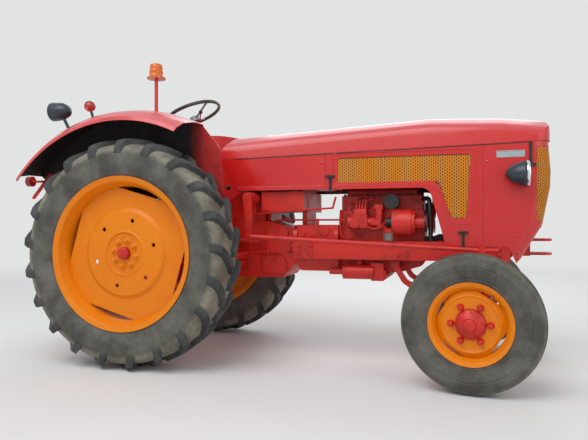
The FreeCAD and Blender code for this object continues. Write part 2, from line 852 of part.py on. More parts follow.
def drop_arm():
    """The drop arm with its shaft and the stud of its ball."""
    shaft_x, shaft_z = S.drop_shaft_x, S.drop_shaft_z
    blade = prism("drop_arm_blade", "side", [[
        (shaft_x - 30, shaft_z + 8, 16), (shaft_x + 4, shaft_z + 34, 16), (shaft_x + 30, shaft_z + 2, 16),
        (drop_ball_x + 17, drop_ball_z), (drop_ball_x + 8, drop_ball_z - 18),
        (drop_ball_x - 12, drop_ball_z - 18), (drop_ball_x - 18, drop_ball_z),
    ]], -S.drop_arm_y - 11, -S.drop_arm_y + 11)
    return fuse("drop_arm", [
        blade,
        drum("drop_arm_shaft", "Y", (shaft_x, -S.drop_arm_y - 18, shaft_z), 120, S.drop_shaft_radius),
        drum("drop_arm_hub", "Y", (shaft_x, -S.drop_arm_y - 14, shaft_z), 28, 30),
        drum("drop_arm_stud", "Y", (drop_ball_x, -drag_link_y - 18, drop_ball_z), 40,
             S.ball_stud_radius),
    ])


publish(drop_arm(), "drop_arm")


# Steering wheel and column, drawn along their own axis with the hub at the top

COLUMN_LEAN = Rotation(Vector(0, 1, 0), -S.wheel_tilt.number)
hub_height = 60
column_length = 600


def steering_wheel():
    """A thin rim on three spokes over a dished hub."""
    ring = new_body("steering_ring")
    thick = 12
    major = S.wheel_radius
    turning = ring.newObject("PartDesign::Revolution", "steering_ring_turning")
    sketch = draw(ring, "side", [[
        (major - thick, 46), (major - thick / 2, 46 - 11), (major + thick / 2, 46 - 11),
        (major + thick, 46), (major + thick / 2, 46 + 11), (major - thick / 2, 46 + 11),
    ]])
    turning.Profile = sketch
    turning.ReferenceAxis = (sketch, ["V_Axis"])
    turning.Angle = 360
    spokes = []
    for number in range(3):
        angle = math.radians(90 + 120 * number)
        reach = major * math.cos(angle), major * math.sin(angle)
        start = 20 * math.cos(angle), 20 * math.sin(angle)
        spokes.append(rod(f"spoke_{number}", (*start, 6), (*reach, 46), 7))
    hub = drum("steering_hub", "Z", (0, 0, -14), 34, 34)
    shaft = drum("steering_shaft", "Z", (0, 0, -hub_height - 30), hub_height + 30, S.column_shaft_radius)
    return fuse("steering_wheel", [ring, hub, shaft, *spokes])


publish(steering_wheel(), "steering_wheel", S.wheel_hub_x, 0, S.wheel_hub_z, COLUMN_LEAN)


# Rear axle, gearbox and clutch housing

axle_z = S.rear_tyre_radius
rail_outside = S.body_half_width - S.sheet_wall


def rear_axle_housing():
    """The rear housing with its axle tubes and the lift's housing on top."""
    half = 190
    core = prism("rear_core", "side", [[
        (-250, 560, 40), (-250, 900, 30), (-230, 1080, 30), (150, 1080, 40), (250, 960), (250, 547),
        (-190, 547, 40),
    ]], -half, half)
    tubes = drum("axle_tubes", "Y", (0, -S.housing_end, axle_z), S.housing_end * 2, S.axle_housing_radius)
    trumpets = [prism(f"trumpet_{name}", "plan", [[
        (-150, side * half), (150, side * half), (86, side * 420), (-86, side * 420),
    ][::side]], axle_z - 100, axle_z + 100) for name, side in (("right", -1), ("left", 1))]
    ends = [drum(f"tube_flange_{name}", "Y", (0, start, axle_z), 26, S.axle_housing_radius + 34)
            for name, start in (("right", -S.housing_end), ("left", S.housing_end - 26))]
    body = fuse("rear_housing_cast", [core, tubes, *trumpets, *ends])
    deep = S.housing_end - S.axle_shaft_start + 1
    bores = [drum(f"axle_bore_{name}", "Y", (0, start, axle_z), deep, S.axle_shaft_radius + S.running_gap)
             for name, start in (("right", -S.housing_end - 1), ("left", S.axle_shaft_start))]
    lift_bore = drum("lift_bore", "Y", (S.lift_shaft_x, -200, S.lift_shaft_z), 400,
                     S.lift_shaft_radius + S.running_gap)
    pto_bore = drum("pto_bore", "X", (-260, 0, 640), 80, 30)
    return cut("rear_axle_housing", body, group("rear_housing_bores", [*bores, lift_bore, pto_bore]))


publish(rear_axle_housing(), "rear_axle_housing")


def gearbox():
    """The gearbox between the rear housing and the bell flange."""
    half = S.gearbox_half_width
    front = S.bell_flange_x
    case = prism("gearbox_case", "side", [[
        (250, S.gearbox_bottom), (250, 900), (420, 930), (760, 930, 30), (front, 880),
        (front, 640), (860, S.gearbox_bottom, 30),
    ]], -half, half)
    flange = prism("bell_flange_rear", "across", [[
        (-205, 680, 60), (-205, 860, 60), (-150, 903, 40), (150, 903, 40), (205, 860, 60),
        (205, 680, 60), (150, 631, 40), (-150, 631, 40),
    ]], front, front + S.bell_flange_wall)
    ribs = [box(f"gearbox_rib_{number}", (x, x + 14), (-half - 12, half + 12), (600, 880))
            for number, x in enumerate((330, 470, 610, 750))]
    cover = prism("gearbox_cover", "side", [[
        (722, 578, 20), (896, 578, 20), (896, 640, 20), (870, 692, 20), (722, 692, 20),
    ]], -half - 18, -half + 5)
    ledge = box("gearbox_ledge", (480, 750), (-half - 10, half + 10), (708, 722))
    bosses = [drum(f"gearbox_boss_{number}", "Y", (x, -half - 20, z), 30, radius)
              for number, (x, z, radius) in enumerate(((868, 850, 34), (560, 800, 26), (905, 742, 16)))]
    return fuse("gearbox", [case, flange, *ribs, cover, ledge, *bosses])


publish(gearbox(), "gearbox")

clutch_rear = S.bell_flange_x + S.bell_flange_wall


def clutch_housing():
    """The clutch housing, as wide as the rails that are bolted to it."""
    case = prism("clutch_case", "side", [[
        (clutch_rear, 640), (clutch_rear, 905), (S.engine_rear, 905),
        (S.engine_rear, 600), (clutch_rear + 20, 600, 30),
    ]], -190, 190)
    pads = box("rail_pads", (clutch_rear + 40, S.engine_rear - 20),
               (-rail_outside + S.rail_wall, rail_outside - S.rail_wall),
               (S.rail_bottom + S.rail_wall, S.rail_top - S.rail_wall))
    bosses = [drum(f"clutch_boss_{number}", "Y", (x, -200, z), 400, radius)
              for number, (x, z, radius) in enumerate(((1005, 850, 22), (1160, 866, 32), (1075, 840, 12)))]
    flange = prism("clutch_flange", "across", [[
        (-205, 700, 40), (-205, 860, 60), (-150, 903, 40), (150, 903, 40), (205, 860, 60), (205, 700, 40),
    ]], S.engine_rear - 24, S.engine_rear)
    return fuse("clutch_housing", [case, pads, flange, *bosses])


publish(clutch_housing(), "clutch_housing")

# Engine

head_top = 1095
head_bottom = 1000


def engine_block():
    """The engine as one plain block with its sump."""
    half = S.block_half_width
    rear, front = S.engine_rear, S.engine_front
    block = box("block", (rear, front), (-half, half), (690, head_bottom))
    sump = prism("sump", "side", [[
        (rear, 690), (front, 690), (front - 20, 640, 20), (front - 160, 596, 30), (rear, 596),
    ]], -half + 30, half - 30)
    ledge = box("sump_ledge", (rear, front), (-half + 10, half - 10), (676, 690))
    return fuse("engine_block", [block, sump, ledge])


publish(engine_block(), "engine_block")


def cylinder_head():
    """The head with the long cover of its valves."""
    head = box("head", (S.engine_rear + 10, S.engine_front - 10), (-120, 120), (head_bottom, head_top))
    cover = prism("valve_cover", "across", [[
        (-78, head_top), (-78, head_top + 50, 22), (78, head_top + 50, 22), (78, head_top),
    ]], S.engine_rear + 40, S.engine_front - 50)
    return fuse("cylinder_head", [head, cover])


publish(cylinder_head(), "cylinder_head")

block_side = -S.block_half_width
pipe_gap = 0.3


def injection_gear():
    """The injection pump with its four pipes, the fuel filter and the breather's canister."""
    face = block_side
    pieces = [
        box("pump_body", (1345, 1448), (face - 88, face), (884, 968)),
        box("pump_head", (1358, 1440), (face - 72, face), (968, 1004)),
        drum("pump_governor", "X", (1322, face - 46, 922), 40, 46),
        drum("pump_cover", "Y", (1366, face - 96, 912), 30, 30),
        drum("pump_drive", "X", (1440, face - 46, 922), 66, 30),
        drum("filter_can", "Z", (1521, face - 62, 893), 112, 24),
        box("filter_bracket", (1494, 1546), (face - 70, face), (1005, 1034)),
        drum("filter_knob", "Y", (1492, face - 84, 922), 84, 20),
        drum("canister", "Y", (1604, face - 90, 1052), 90 - face - 120 - pipe_gap, 42),
        drum("canister_rim", "Y", (1604, face - 94, 1052), 12, 46),
    ]
    pipe = 5
    for number in range(4):
        x, y = 1368 + 20 * number, face - 36
        end_x = x + 30 + 18 * number
        pieces += [
            drum(f"pump_outlet_{number}", "Z", (x, y, 1000), 30, 9),
            rod(f"pump_pipe_up_{number}", (x, y, 1020), (x + 6, y, 1066), pipe),
            rod(f"pump_pipe_across_{number}", (x + 5, y, 1062), (end_x, y + 30, 1078), pipe),
            rod(f"pump_pipe_in_{number}", (end_x - 2, y + 25, 1077), (end_x, -128, 1077), pipe + 1),
            drum(f"injector_nut_{number}", "Y", (end_x, -134, 1077), 14 - pipe_gap, 11),
        ]
    return fuse("injection_gear", pieces)


publish(injection_gear(), "injection_gear")

pulley_x = S.engine_front + 5
pulley_radius = 50
generator_y, generator_z = block_side - 92, 918


def generator():
    """The generator with its pulley, cradled on the engine's right side."""
    y, z = generator_y, generator_z
    return fuse("generator", [
        drum("generator_can", "X", (1612, y, z), 118, 82),
        drum("generator_end", "X", (1725, y, z), 24, 70),
        drum("generator_nose", "X", (1745, y, z), 62, 34),
        drum("generator_pulley", "X", (pulley_x, y, z), 20, pulley_radius),
        drum("generator_collar", "X", (1574, y, z), 42, 32),
        box("generator_cradle", (1630, 1720), (y, block_side), (z - 70, z - 30)),
        box("generator_strap", (1735, 1747), (y - 10, block_side), (z + 40, z + 62)),
    ])


publish(generator(), "generator")

fan_z = 1000


def fan_belt():
    """The belt round the fan's hub and the generator's pulley."""
    inside = pulley_radius + pipe_gap
    outside = inside + 8
    lean = Size(math.degrees(math.atan2(fan_z - generator_z, -generator_y.number)),
                f"atan({fan_z - generator_z} / {(-generator_y).text})")
    loops = []
    for radius in (outside, inside):
        across, up = sine(lean) * radius, cosine(lean) * radius
        ends = [drum(f"belt_end_{index}_{radius}", "X", (pulley_x + 3, y, z), 14, radius)
                for index, (y, z) in enumerate(((0, fan_z), (generator_y, generator_z)))]
        run = prism(f"belt_run_{radius}", "across", [[
            (generator_y - across, generator_z + up), (generator_y + across, generator_z - up),
            (across, fan_z - up), (-across, fan_z + up),
        ]], pulley_x + 3, pulley_x + 17)
        loops.append(fuse(f"belt_form_{radius}", [*ends, run]))
    return cut("fan_belt", *loops)


def radiator_hoses():
    """The rubber hoses between the engine and the radiator, one above and one below the fan."""
    thick = 20
    foot_x, foot_y = S.engine_front - 40, 99
    front = radiator_rear - pipe_gap
    runs = []
    for name, corners in (
        ("upper", [(foot_x, foot_y, head_top + pipe_gap), (foot_x, foot_y, 1236),
                   (foot_x + 44, foot_y, 1288), (front, foot_y, 1288)]),
        ("lower", [(S.engine_front + pipe_gap, -120, 812), (1856, -120, 812), (1892, -120, 826),
                   (front, -120, 826)]),
    ):
        pieces = [rod(f"hose_{name}_{number}", *ends, thick)
                  for number, ends in enumerate(zip(corners, corners[1:]))]
        pieces += [ball(f"hose_{name}_bend_{number}", corner, thick + 1)
                   for number, corner in enumerate(corners[1:-1])]
        runs.append(fuse(f"hose_{name}", pieces))
    return runs


radiator_rear = 1930
publish(group("rubber_runs", [fan_belt(), *radiator_hoses()]), "belt_and_hoses")

muffler_z = 602


def exhaust():
    """The manifold on the left side and its pipe below the sump to the muffler on the right."""
    y, z, pipe = -215, muffler_z, 20
    corners = [(1550, 175, 1040), (1550, 175, 573), (1550, y, 573), (1550, y, z)]
    runs = [rod(f"exhaust_pipe_{number}", *ends, pipe)
            for number, ends in enumerate(zip(corners, corners[1:]))]
    bends = [ball(f"exhaust_bend_{number}", corner, pipe) for number, corner in enumerate(corners[1:])]
    return fuse("exhaust", [
        box("manifold", (1330, 1720), (120, 190), (1020, 1080)),
        *runs,
        *bends,
        drum("muffler_can", "X", (1290, y, z), 200, 47),
        drum("muffler_tail", "X", (1200, y, z), 100, pipe),
        drum("muffler_inlet", "X", (1480, y, z), 70, pipe),
        box("muffler_strap", (1380, 1410), (y, -120), (620, 676)),
        box("muffler_bracket", (1474, 1552), (y - 24, y + 16), (548, 660)),
    ])


publish(exhaust(), "exhaust")


def radiator():
    """The radiator: a core between an upper and a lower tank."""
    core = box("radiator_core", (radiator_rear + 10, radiator_rear + 80), (-215, 215),
               (S.rail_top + 60, 1250))
    upper = box("radiator_upper", (radiator_rear, radiator_rear + 95), (-225, 225), (1250, 1330))
    lower = box("radiator_lower", (radiator_rear, radiator_rear + 95), (-225, 225),
                (S.rail_top, S.rail_top + 60))
    foot = box("radiator_foot", (radiator_rear, radiator_rear + 95), (-rail_outside + 6, rail_outside - 6),
               (S.rail_top, S.rail_top + 10))
    neck = drum("radiator_neck", "Z", (radiator_rear + 48, 0, 1325), 40, 32)
    return fuse("radiator", [core, upper, lower, foot, neck])


publish(radiator(), "radiator")


def fan():
    """The fan with its hub on the front of the engine."""
    blades = [box(f"fan_blade_{number}", (1846, 1854), (-32, 32), (40, 180)) for number in range(4)]
    turned_blades = []
    for number, blade in enumerate(blades):
        holder = group(f"fan_blade_turned_{number}", [blade])
        holder.Placement = Placement(Vector(0, 0, 0), Rotation(Vector(1, 0, 0), 45 + 90 * number))
        turned_blades.append(holder)
    hub = drum("fan_hub", "X", (S.engine_front, 0, 0), 62, pulley_radius)
    return fuse("fan", [hub, *turned_blades])


publish(fan(), "fan", 0, 0, fan_z)


def front_frame():
    """Two channel rails and the front cross piece with the axle's bracket."""
    outside, web, flange = rail_outside, S.rail_wall, S.rail_flange
    rails = []
    for name, side in (("right", -1), ("left", 1)):
        rails.append(prism(f"rail_{name}", "across", [[
            (side * outside, S.rail_bottom), (side * outside, S.rail_top),
            (side * (outside - flange), S.rail_top), (side * (outside - flange), S.rail_top - web),
            (side * (outside - web), S.rail_top - web), (side * (outside - web), S.rail_bottom + web),
            (side * (outside - flange), S.rail_bottom + web),
            (side * (outside - flange), S.rail_bottom),
        ][::side]], clutch_rear, S.rail_front))
    front = S.rail_front
    end = box("frame_end", (front - 40, front), (-outside + web, outside - web),
              (S.rail_bottom + web, S.rail_top - web))
    saddle = box("axle_saddle", (S.wheelbase - 120, S.wheelbase + 120), (-outside + web, outside - web),
                 (S.rail_bottom + web, S.rail_top - web))
    cheeks = [prism(f"axle_cheek_{name}", "across", [[
        (-110, S.rail_bottom + web), (110, S.rail_bottom + web), (60, S.beam_top - 90, 30),
        (-60, S.beam_top - 90, 30),
    ]], x, x + 30) for name, x in (("rear", S.wheelbase - 90), ("front", S.wheelbase + 60))]
    frame = fuse("front_frame_metal", [*rails, end, saddle, *cheeks])
    pin_hole = drum("axle_pin_hole", "X", (S.wheelbase - 130, 0, S.beam_top - 42), 260, 22.3)
    return cut("front_frame", frame, pin_hole)


publish(front_frame(), "front_frame")


def front_hitch():
    """The towing clevis: two plates on a tongue from the frame's front end."""
    jaw_half = 60
    tongue_top = 800
    jaws = [prism(f"tow_jaw_{name}", "plan", [[
        (2420, -jaw_half), (2540, -jaw_half, 30), (2565, 0, 30), (2540, jaw_half, 30), (2420, jaw_half),
    ]], z, z + 16) for name, z in (("low", 718), ("high", 804))]
    metal = fuse("front_hitch_metal", [
        box("tow_tongue", (S.rail_front, 2430), (-jaw_half, jaw_half), (712, tongue_top)),
        box("tow_back", (2415, 2432), (-jaw_half, jaw_half), (712, 820)),
        *jaws,
    ])
    return cut("front_hitch", metal, drum("tow_pin_hole", "Z", (2520, 0, 700), 140, 15))


publish(front_hitch(), "front_hitch")


def front_axle():
    """The cast beam with its middle pivot and the kingpins' sleeves."""
    top, deep = S.beam_top, S.beam_height
    kingpin_y = S.kingpin_y
    low = S.sleeve_bottom
    beam = prism("beam", "across", [[
        (-kingpin_y, low + 20), (-kingpin_y, low + 90), (-260, top - 10, 80), (0, top, 300),
        (260, top - 10, 80), (kingpin_y, low + 90), (kingpin_y, low + 20), (300, top - deep, 80),
        (-300, top - deep, 80),
    ][::-1]], S.wheelbase - 28, S.wheelbase + 28)
    pivot = drum("beam_pivot", "X", (S.wheelbase - 58, 0, top - 42), 116, 44)
    pin = drum("beam_pin", "X", (S.wheelbase - 96, 0, top - 42), 192, 22)
    sleeves = [drum(f"sleeve_{name}", "Z", (S.wheelbase, side * kingpin_y, low), S.sleeve_height,
                    S.sleeve_radius) for name, side in (("right", -1), ("left", 1))]
    bores = [drum(f"sleeve_bore_{name}", "Z", (S.wheelbase, side * kingpin_y, low - 5),
                  S.sleeve_height + 10, S.kingpin_radius + S.running_gap)
             for name, side in (("right", -1), ("left", 1))]
    return cut("front_axle", fuse("front_axle_metal", [beam, pivot, pin, *sleeves]),
               group("sleeve_bores", bores))


publish(front_axle(), "front_axle")


def thrust_arms():
    """The two flat arms that brace the front axle back to the engine."""
    arm = prism("thrust_arm", "side", [[
        (1610, 640, 20), (1640, 650), (1700, 560, 60), (1780, 520, 60), (2067, 490), (2067, 450),
        (1760, 480, 60), (1670, 540, 60),
    ]], -235, -213)
    foot = box("thrust_foot", (1600, 1650), (-235, -S.block_half_width + 30), (632, 676))
    return both_sides("thrust_arms", fuse("thrust_arm_right", [arm, foot]))


publish(thrust_arms(), "thrust_arms")


# Bonnet, side panels and nose

half_width = S.body_half_width
wall = S.sheet_wall


def lip_z(x):
    """Height of the seam under the bonnet."""
    rise = (S.lip_front_z - S.lip_rear_z) / (S.nose_front_x - S.hood_rear_x)
    return S.lip_rear_z + (as_size(x) - S.hood_rear_x) * rise


HOOD_SECTIONS = [
    # along, height of the crown
    (400, 1500),
    (1833, 1575),
    (2259, 1556),
    (2560, 1520),
]


hood_nose_round = 150
hood_pin_x = S.hood_rear_x + S.hood_ear_radius
hood_pin_z = S.lip_rear_z + S.hood_ear_radius


def hood_form(name, inset, drop):
    """The bonnet's outer or inner form, lofted between upright sections."""
    body = new_body(name)
    sketches = []
    for x, top in HOOD_SECTIONS:
        half = half_width - inset
        crown = as_size(top) - inset
        low = lip_z(x) - drop
        corners = [
            (-half, low), (-half + 14, crown - 62, 80 - inset), (-half + 120, crown, 150 - inset),
            (half - 120, crown, 150 - inset), (half - 14, crown - 62, 80 - inset), (half, low),
        ]
        sketches.append(draw(body, "across", [corners[::-1]], x))
    loft = body.newObject("PartDesign::AdditiveLoft", f"{name}_loft")
    loft.Profile = sketches[0]
    loft.Sections = sketches[1:]
    loft.Ruled = True
    body.Tip = loft
    return body


def hood_solid(name, inset, drop):
    """The same form with the bonnet's slanted rear end and rounded nose."""
    body = hood_form(name, inset, drop)
    front = S.nose_front_x - inset
    rear = S.hood_rear_x - inset * 4
    side = prism(f"{name}_side", "side", [[
        (rear, hood_pin_z - S.hood_ear_radius, S.hood_ear_radius - 0.5),
        (hood_pin_x, hood_pin_z - S.hood_ear_radius), (hood_pin_x, 1200), (front, 1200),
        (front, 1562 - inset, hood_nose_round - inset), (2000, 1640), (rear + 170, 1640),
        (rear, hood_pin_z),
    ]], -half_width - 20, half_width + 20)
    plan = plan_form(f"{name}_plan", 300, inset, 1200, 1700)
    return common(f"{name}_trimmed", common(f"{name}_cut", body, side), plan)


def plan_form(name, rear, inset, low, high):
    """The body's outline in plan, rounded at the nose."""
    half = half_width - inset
    corner = S.nose_corner - inset
    front = S.nose_front_x - inset
    return prism(name, "plan", [[
        (rear, -half), (front, -half, corner), (front, half, corner), (rear, half),
    ]], low, high)


def hood():
    """The bonnet as a shell that is open below and behind, with holes for the pins it tilts on."""
    shell = cut("hood_shell", hood_solid("hood_outer", 0, 0), hood_solid("hood_inner", wall, 20))
    holes = drum("hood_pin_holes", "Y", (hood_pin_x, -half_width - 10, hood_pin_z),
                 half_width * 2 + 20, S.hood_pin_radius + S.running_gap)
    return cut("hood", shell, holes)


publish(hood(), "hood")

seam = S.seam_gap
bead_rise = 3
panel_lip = 26


def side_panels():
    """The plain panels beside the tank, cut away to the driver's feet."""
    rear, front = S.hood_rear_x, S.panel_seam_x - seam
    panel = prism("side_panel", "side", [[
        (rear, lip_z(rear) - seam), (rear + 138, S.panel_bottom), (front, S.panel_bottom),
        (front, lip_z(front) - seam),
    ]], -half_width, -half_width + wall)
    lip = box("side_panel_lip", (rear + 142, front), (-half_width - bead_rise, -half_width + 1),
              (S.panel_bottom, S.panel_bottom + panel_lip))
    return both_sides("side_panels", fuse("side_panel_right", [panel, lip]))


publish(side_panels(), "side_panels")

ARCH = [
    # along and up, from the nose's seam to the panel's lower edge, with the corner's rounding
    (1937, 772, 0),
    (1884, 964, 60),
    (1838, 1132, 70),
]


def vent_panels():
    """The panels beside the engine, arched over the front wheels, with a window for the mesh."""
    rear, front = S.panel_seam_x + seam, S.nose_seam_x - seam
    arch = [(x, z, radius) if radius else (x, S.arch_bottom) for x, z, radius in ARCH]
    panel = prism("vent_panel", "side", [
        [(rear, lip_z(rear) - seam), (rear, S.panel_bottom), *arch[::-1], (front, S.arch_bottom),
         (front, lip_z(front) - seam)],
        vent_window(0),
    ], -half_width, -half_width + wall)
    bead = prism("vent_bead", "side", [vent_window(34), vent_window(26)], -half_width - bead_rise,
                 -half_width + 1)
    low, high = S.panel_bottom, S.panel_bottom + panel_lip
    lip = prism("vent_lip", "side", [[
        (rear, low), *arch[::-1], (1964, S.arch_bottom), (1909, 971, 60), (1858, high, 96), (rear, high),
    ]], -half_width - bead_rise, -half_width + 1)
    return both_sides("vent_panels", fuse("vent_panel_right", [panel, bead, lip]))


def vent_window(grown):
    """The mesh's outline, or the same grown all round."""
    return [
        (1266 - grown, 1331 + grown, 22), (1266 - grown, 1172 - grown, 22),
        (1890, 1172 - grown, 70), (1968, 942 - grown, 30), (2055 + grown, 942 - grown, 20),
        (2083 + grown, 1331 + grown, 22),
    ]


publish(vent_panels(), "vent_panels")


def vent_meshes():
    """The perforated sheets behind the windows."""
    sheet_body = prism("vent_mesh", "side", [vent_window(10)], -half_width + wall, -half_width + wall + 3)
    return both_sides("vent_meshes", sheet_body)


publish(vent_meshes(), "vent_meshes")


NOSE_SECTIONS = [
    # height, and how far the nose's front there lies ahead of the bonnet's
    (660, -181),
    (884, -50),
    (930, -36),
    (1130, 3),
    (1226, 6),
    (1420, -11),
]


def nose_form(name, rear, inset, over):
    """The nose's outer or inner form, lofted upwards between outlines in plan."""
    body = new_body(name)
    sketches = []
    heights = [height for height, lead in NOSE_SECTIONS]
    heights[0] -= over
    heights[-1] += over
    half = half_width - inset
    corner = S.nose_corner - inset
    for height, (_, lead) in zip(heights, NOSE_SECTIONS):
        front = S.nose_front_x + lead - inset
        sketches.append(draw(body, "plan", [[
            (rear, -half), (front, -half, corner), (front, half, corner), (rear, half),
        ]], height))
    loft = body.newObject("PartDesign::AdditiveLoft", f"{name}_loft")
    loft.Profile = sketches[0]
    loft.Sections = sketches[1:]
    loft.Ruled = True
    body.Tip = loft
    return body


def nose_cowl():
    """The nose below the bonnet: rounded in plan, open behind, with the grille's window."""
    rear, front = S.nose_seam_x, S.nose_front_x + 40
    outline = prism("nose_side", "side", [[
        (rear, S.arch_bottom), (2292, S.arch_bottom, 20), (2336, 676), (front, 660),
        (front, lip_z(front) - seam), (rear, lip_z(rear) - seam),
    ]], -half_width - 10, half_width + 10)
    window = box("grille_window", (S.grille_rear_x, front), (-half_width - 20, half_width + 20),
                 (S.grille_bottom, S.grille_top))
    mouth = box("nose_mouth", (2200, front), (-half_width + 50, half_width - 50),
                (600, S.grille_bottom - 42))
    skin = cut("nose_wall", nose_form("nose_outer", rear, 0, 0),
               nose_form("nose_inner", rear - 50, wall, 10))
    return cut("nose_cowl", common("nose_shell", skin, outline), group("nose_openings", [window, mouth]))


publish(nose_cowl(), "nose_cowl")


def grille():
    """The perforated sheet round the nose, seated in its window."""
    inset = 2
    rear = S.nose_seam_x
    window = box("grille_span", (S.grille_rear_x, S.nose_front_x + 40), (-half_width, half_width),
                 (S.grille_bottom, S.grille_top))
    wrap = cut("grille_wrap", nose_form("grille_outer", rear, inset, 0),
               nose_form("grille_inner", rear - 20, inset + 3, 10))
    return common("grille", wrap, window)


publish(grille(), "grille")


gear_top = 1128
dash_gap = 6


def latch(name, x, low, high, bar_z, stand_off):
    """A rubber strap latch that lies on a panel, with its cross bar."""
    near = -half_width - stand_off
    strap = prism(f"{name}_strap", "side", [[
        (x - 9, low), (x + 9, low), (x + 7, (low + high) / 2), (x + 9, high), (x - 9, high),
        (x - 7, (low + high) / 2),
    ]], near - 9, near)
    return fuse(name, [strap, box(f"{name}_bar", (x - 29, x + 29), (near - 16, near - 3),
                                  (bar_z - 8, bar_z + 8))])


def latches():
    """The latches of the side panels and the bonnet."""
    clear = 0.6
    return both_sides("latches", group("latches_right", [
        latch("panel_latch", 1221, 1114, 1222, 1214, bead_rise + clear),
        latch("vent_latch", 2036, 762, 866, 858, clear),
        latch("hood_latch", 2414, 1247, 1386, 1255, clear),
    ]))


publish(latches(), "latches")


def dash_cowl():
    """The slanted dash inside the bonnet's rear end, the bulkhead below it and the bonnet's pins."""
    rear = S.hood_rear_x
    low = lip_z(rear)
    dash = prism("dash", "side", [[
        (rear + 8, low - 2), (rear + 88, 1482), (rear + 98, 1482), (rear + 26, low - 2),
    ]], -half_width + 20, half_width - 20)
    bulkhead = prism("bulkhead", "side", [[
        (rear + 8, low - 4), (rear + 26, low - 4), (rear + 150, S.panel_bottom + 10),
        (rear + 150, gear_top), (rear + 136, gear_top), (rear + 136, S.panel_bottom + 6),
    ]], -half_width + wall, half_width - wall)
    trimmed = common("dash_trimmed", dash, hood_form("dash_form", wall + dash_gap, 30))
    pins = []
    for name, start in (("right", -half_width - 3), ("left", half_width - 30)):
        pins.append(drum(f"hood_pin_{name}", "Y", (hood_pin_x, start, hood_pin_z), 33,
                         S.hood_pin_radius))
    return fuse("dash_cowl", [trimmed, bulkhead, *pins])


publish(dash_cowl(), "dash_cowl")


def battery_box():
    """The box behind the engine that holds the battery and tools, on its feet."""
    rear = S.battery_rear_x
    case = box("battery_case", (rear, 1027), (-250, 250), (995, 1126))
    rear_foot = box("battery_rear_foot", (rear, rear + 24), (-120, 120), (930, 995))
    front_foot = box("battery_front_foot", (985, 1020), (-120, 120), (905, 995))
    return fuse("battery_box", [case, rear_foot, front_foot])


publish(battery_box(), "battery_box")


def fuel_tank():
    """The tank under the bonnet, on cross bearers over the battery box."""
    tank = prism("tank", "across", [[
        (-225, 1150, 40), (225, 1150, 40), (225, 1330, 50), (-225, 1330, 50),
    ]], 600, 1150)
    bearers = [box(f"tank_bearer_{number}", (x, x + 30), (-200, 200), (1126, 1152))
               for number, x in enumerate((760, 980))]
    hoop = box("panel_hoop", (1150, S.panel_seam_x + 10), (-half_width + wall, half_width - wall),
               (1160, 1185))
    return fuse("fuel_tank", [tank, *bearers, hoop])


publish(fuel_tank(), "fuel_tank")


def headlamps():
    """The bullet-shaped headlamps on their brackets."""
    shell = turned("headlamp_shell", [
        (0, 0), (0, 22), (30, 48), (88, 72), (110, S.lamp_radius - 3), (110, S.lamp_radius),
        (124, S.lamp_radius), (127, S.lamp_radius - 8), (127, 0),
    ])
    place(shell, S.lamp_front_x - 127, -S.lamp_y, S.lamp_z, Rotation(Vector(0, 0, 1), -90))
    arm = box("lamp_arm", (S.lamp_front_x - 100, S.lamp_front_x - 60),
              (-S.lamp_y + 30, -half_width), (S.lamp_z - 12, S.lamp_z + 12))
    return both_sides("headlamps", fuse("headlamp", [shell, arm]))


publish(headlamps(), "headlamps")

# Driver's place


gear_boss_radius = 32


def steering_gear():
    """The steering gear on the gearbox, its boss for the drop arm and the column's tube."""
    low = 930
    case = prism("gear_case", "side", [[
        (350, low), (350, 1000, 30), (440, 1060, 30), (540, gear_top, 30),
        (S.drop_shaft_x + 37, gear_top, 20), (S.drop_shaft_x + 37, low),
    ][::-1]], -150, 60)
    boss = drum("gear_boss", "Y", (S.drop_shaft_x, -S.drop_arm_y + 20, S.drop_shaft_z),
                S.drop_arm_y - 160, gear_boss_radius)
    socket = group("column_socket", [
        drum("column_socket_drum", "Z", (0, 0, -column_length - 160), 160, S.column_radius + 8),
    ])
    place(socket, S.wheel_hub_x, 0, S.wheel_hub_z, COLUMN_LEAN)
    bore = drum("gear_bore", "Y", (S.drop_shaft_x, -S.drop_arm_y + 15, S.drop_shaft_z),
                110, S.drop_shaft_radius + S.running_gap)
    return cut("steering_gear", fuse("steering_gear_cast", [case, boss, socket]), bore)


publish(steering_gear(), "steering_gear")


THROTTLE_KNOB = [(-14, 0), (-12, 8), (-5, 13), (5, 13), (12, 8), (14, 0)]


def steering_column():
    """The column's tube from the steering gear to the wheel's hub, with the throttle lever."""
    knob = (110, -120, -10)
    tube = fuse("column_metal", [
        drum("column_tube", "Z", (0, 0, -column_length), column_length - hub_height, S.column_radius),
        rod("throttle_lever", (0, 0, -90), knob, 5),
        place(turned("throttle_knob", THROTTLE_KNOB), *knob),
    ])
    bore = drum("column_bore", "Z", (0, 0, -200), 200, S.column_shaft_radius + S.running_gap)
    return cut("steering_column", tube, bore)


publish(steering_column(), "steering_column", S.wheel_hub_x, 0, S.wheel_hub_z, COLUMN_LEAN)


def platform():
    """The footboards beside the gearbox, carried on brackets."""
    board = prism("footboard", "side", [[
        (262, S.platform_z - 6), (262, S.platform_z), (560, S.platform_z), (640, S.platform_z + 60),
        (640, S.platform_z + 53), (562, S.platform_z - 6),
    ][::-1]], -S.fender_inside, -S.gearbox_half_width - 19)
    bearers = [box(f"bearer_{number}", (x, x + 40), (-S.fender_inside + 20, -S.gearbox_half_width),
                   (S.platform_z - 46, S.platform_z - 6)) for number, x in enumerate((280, 545))]
    return both_sides("platform", fuse("footboard_right", [board, *bearers]))


publish(platform(), "platform")


fender_radius = S.rear_tyre_radius + S.fender_room
fender_lip_radius = S.rear_tyre_radius + S.fender_lip_room
fender_crown_z = S.fender_centre_z + fender_radius


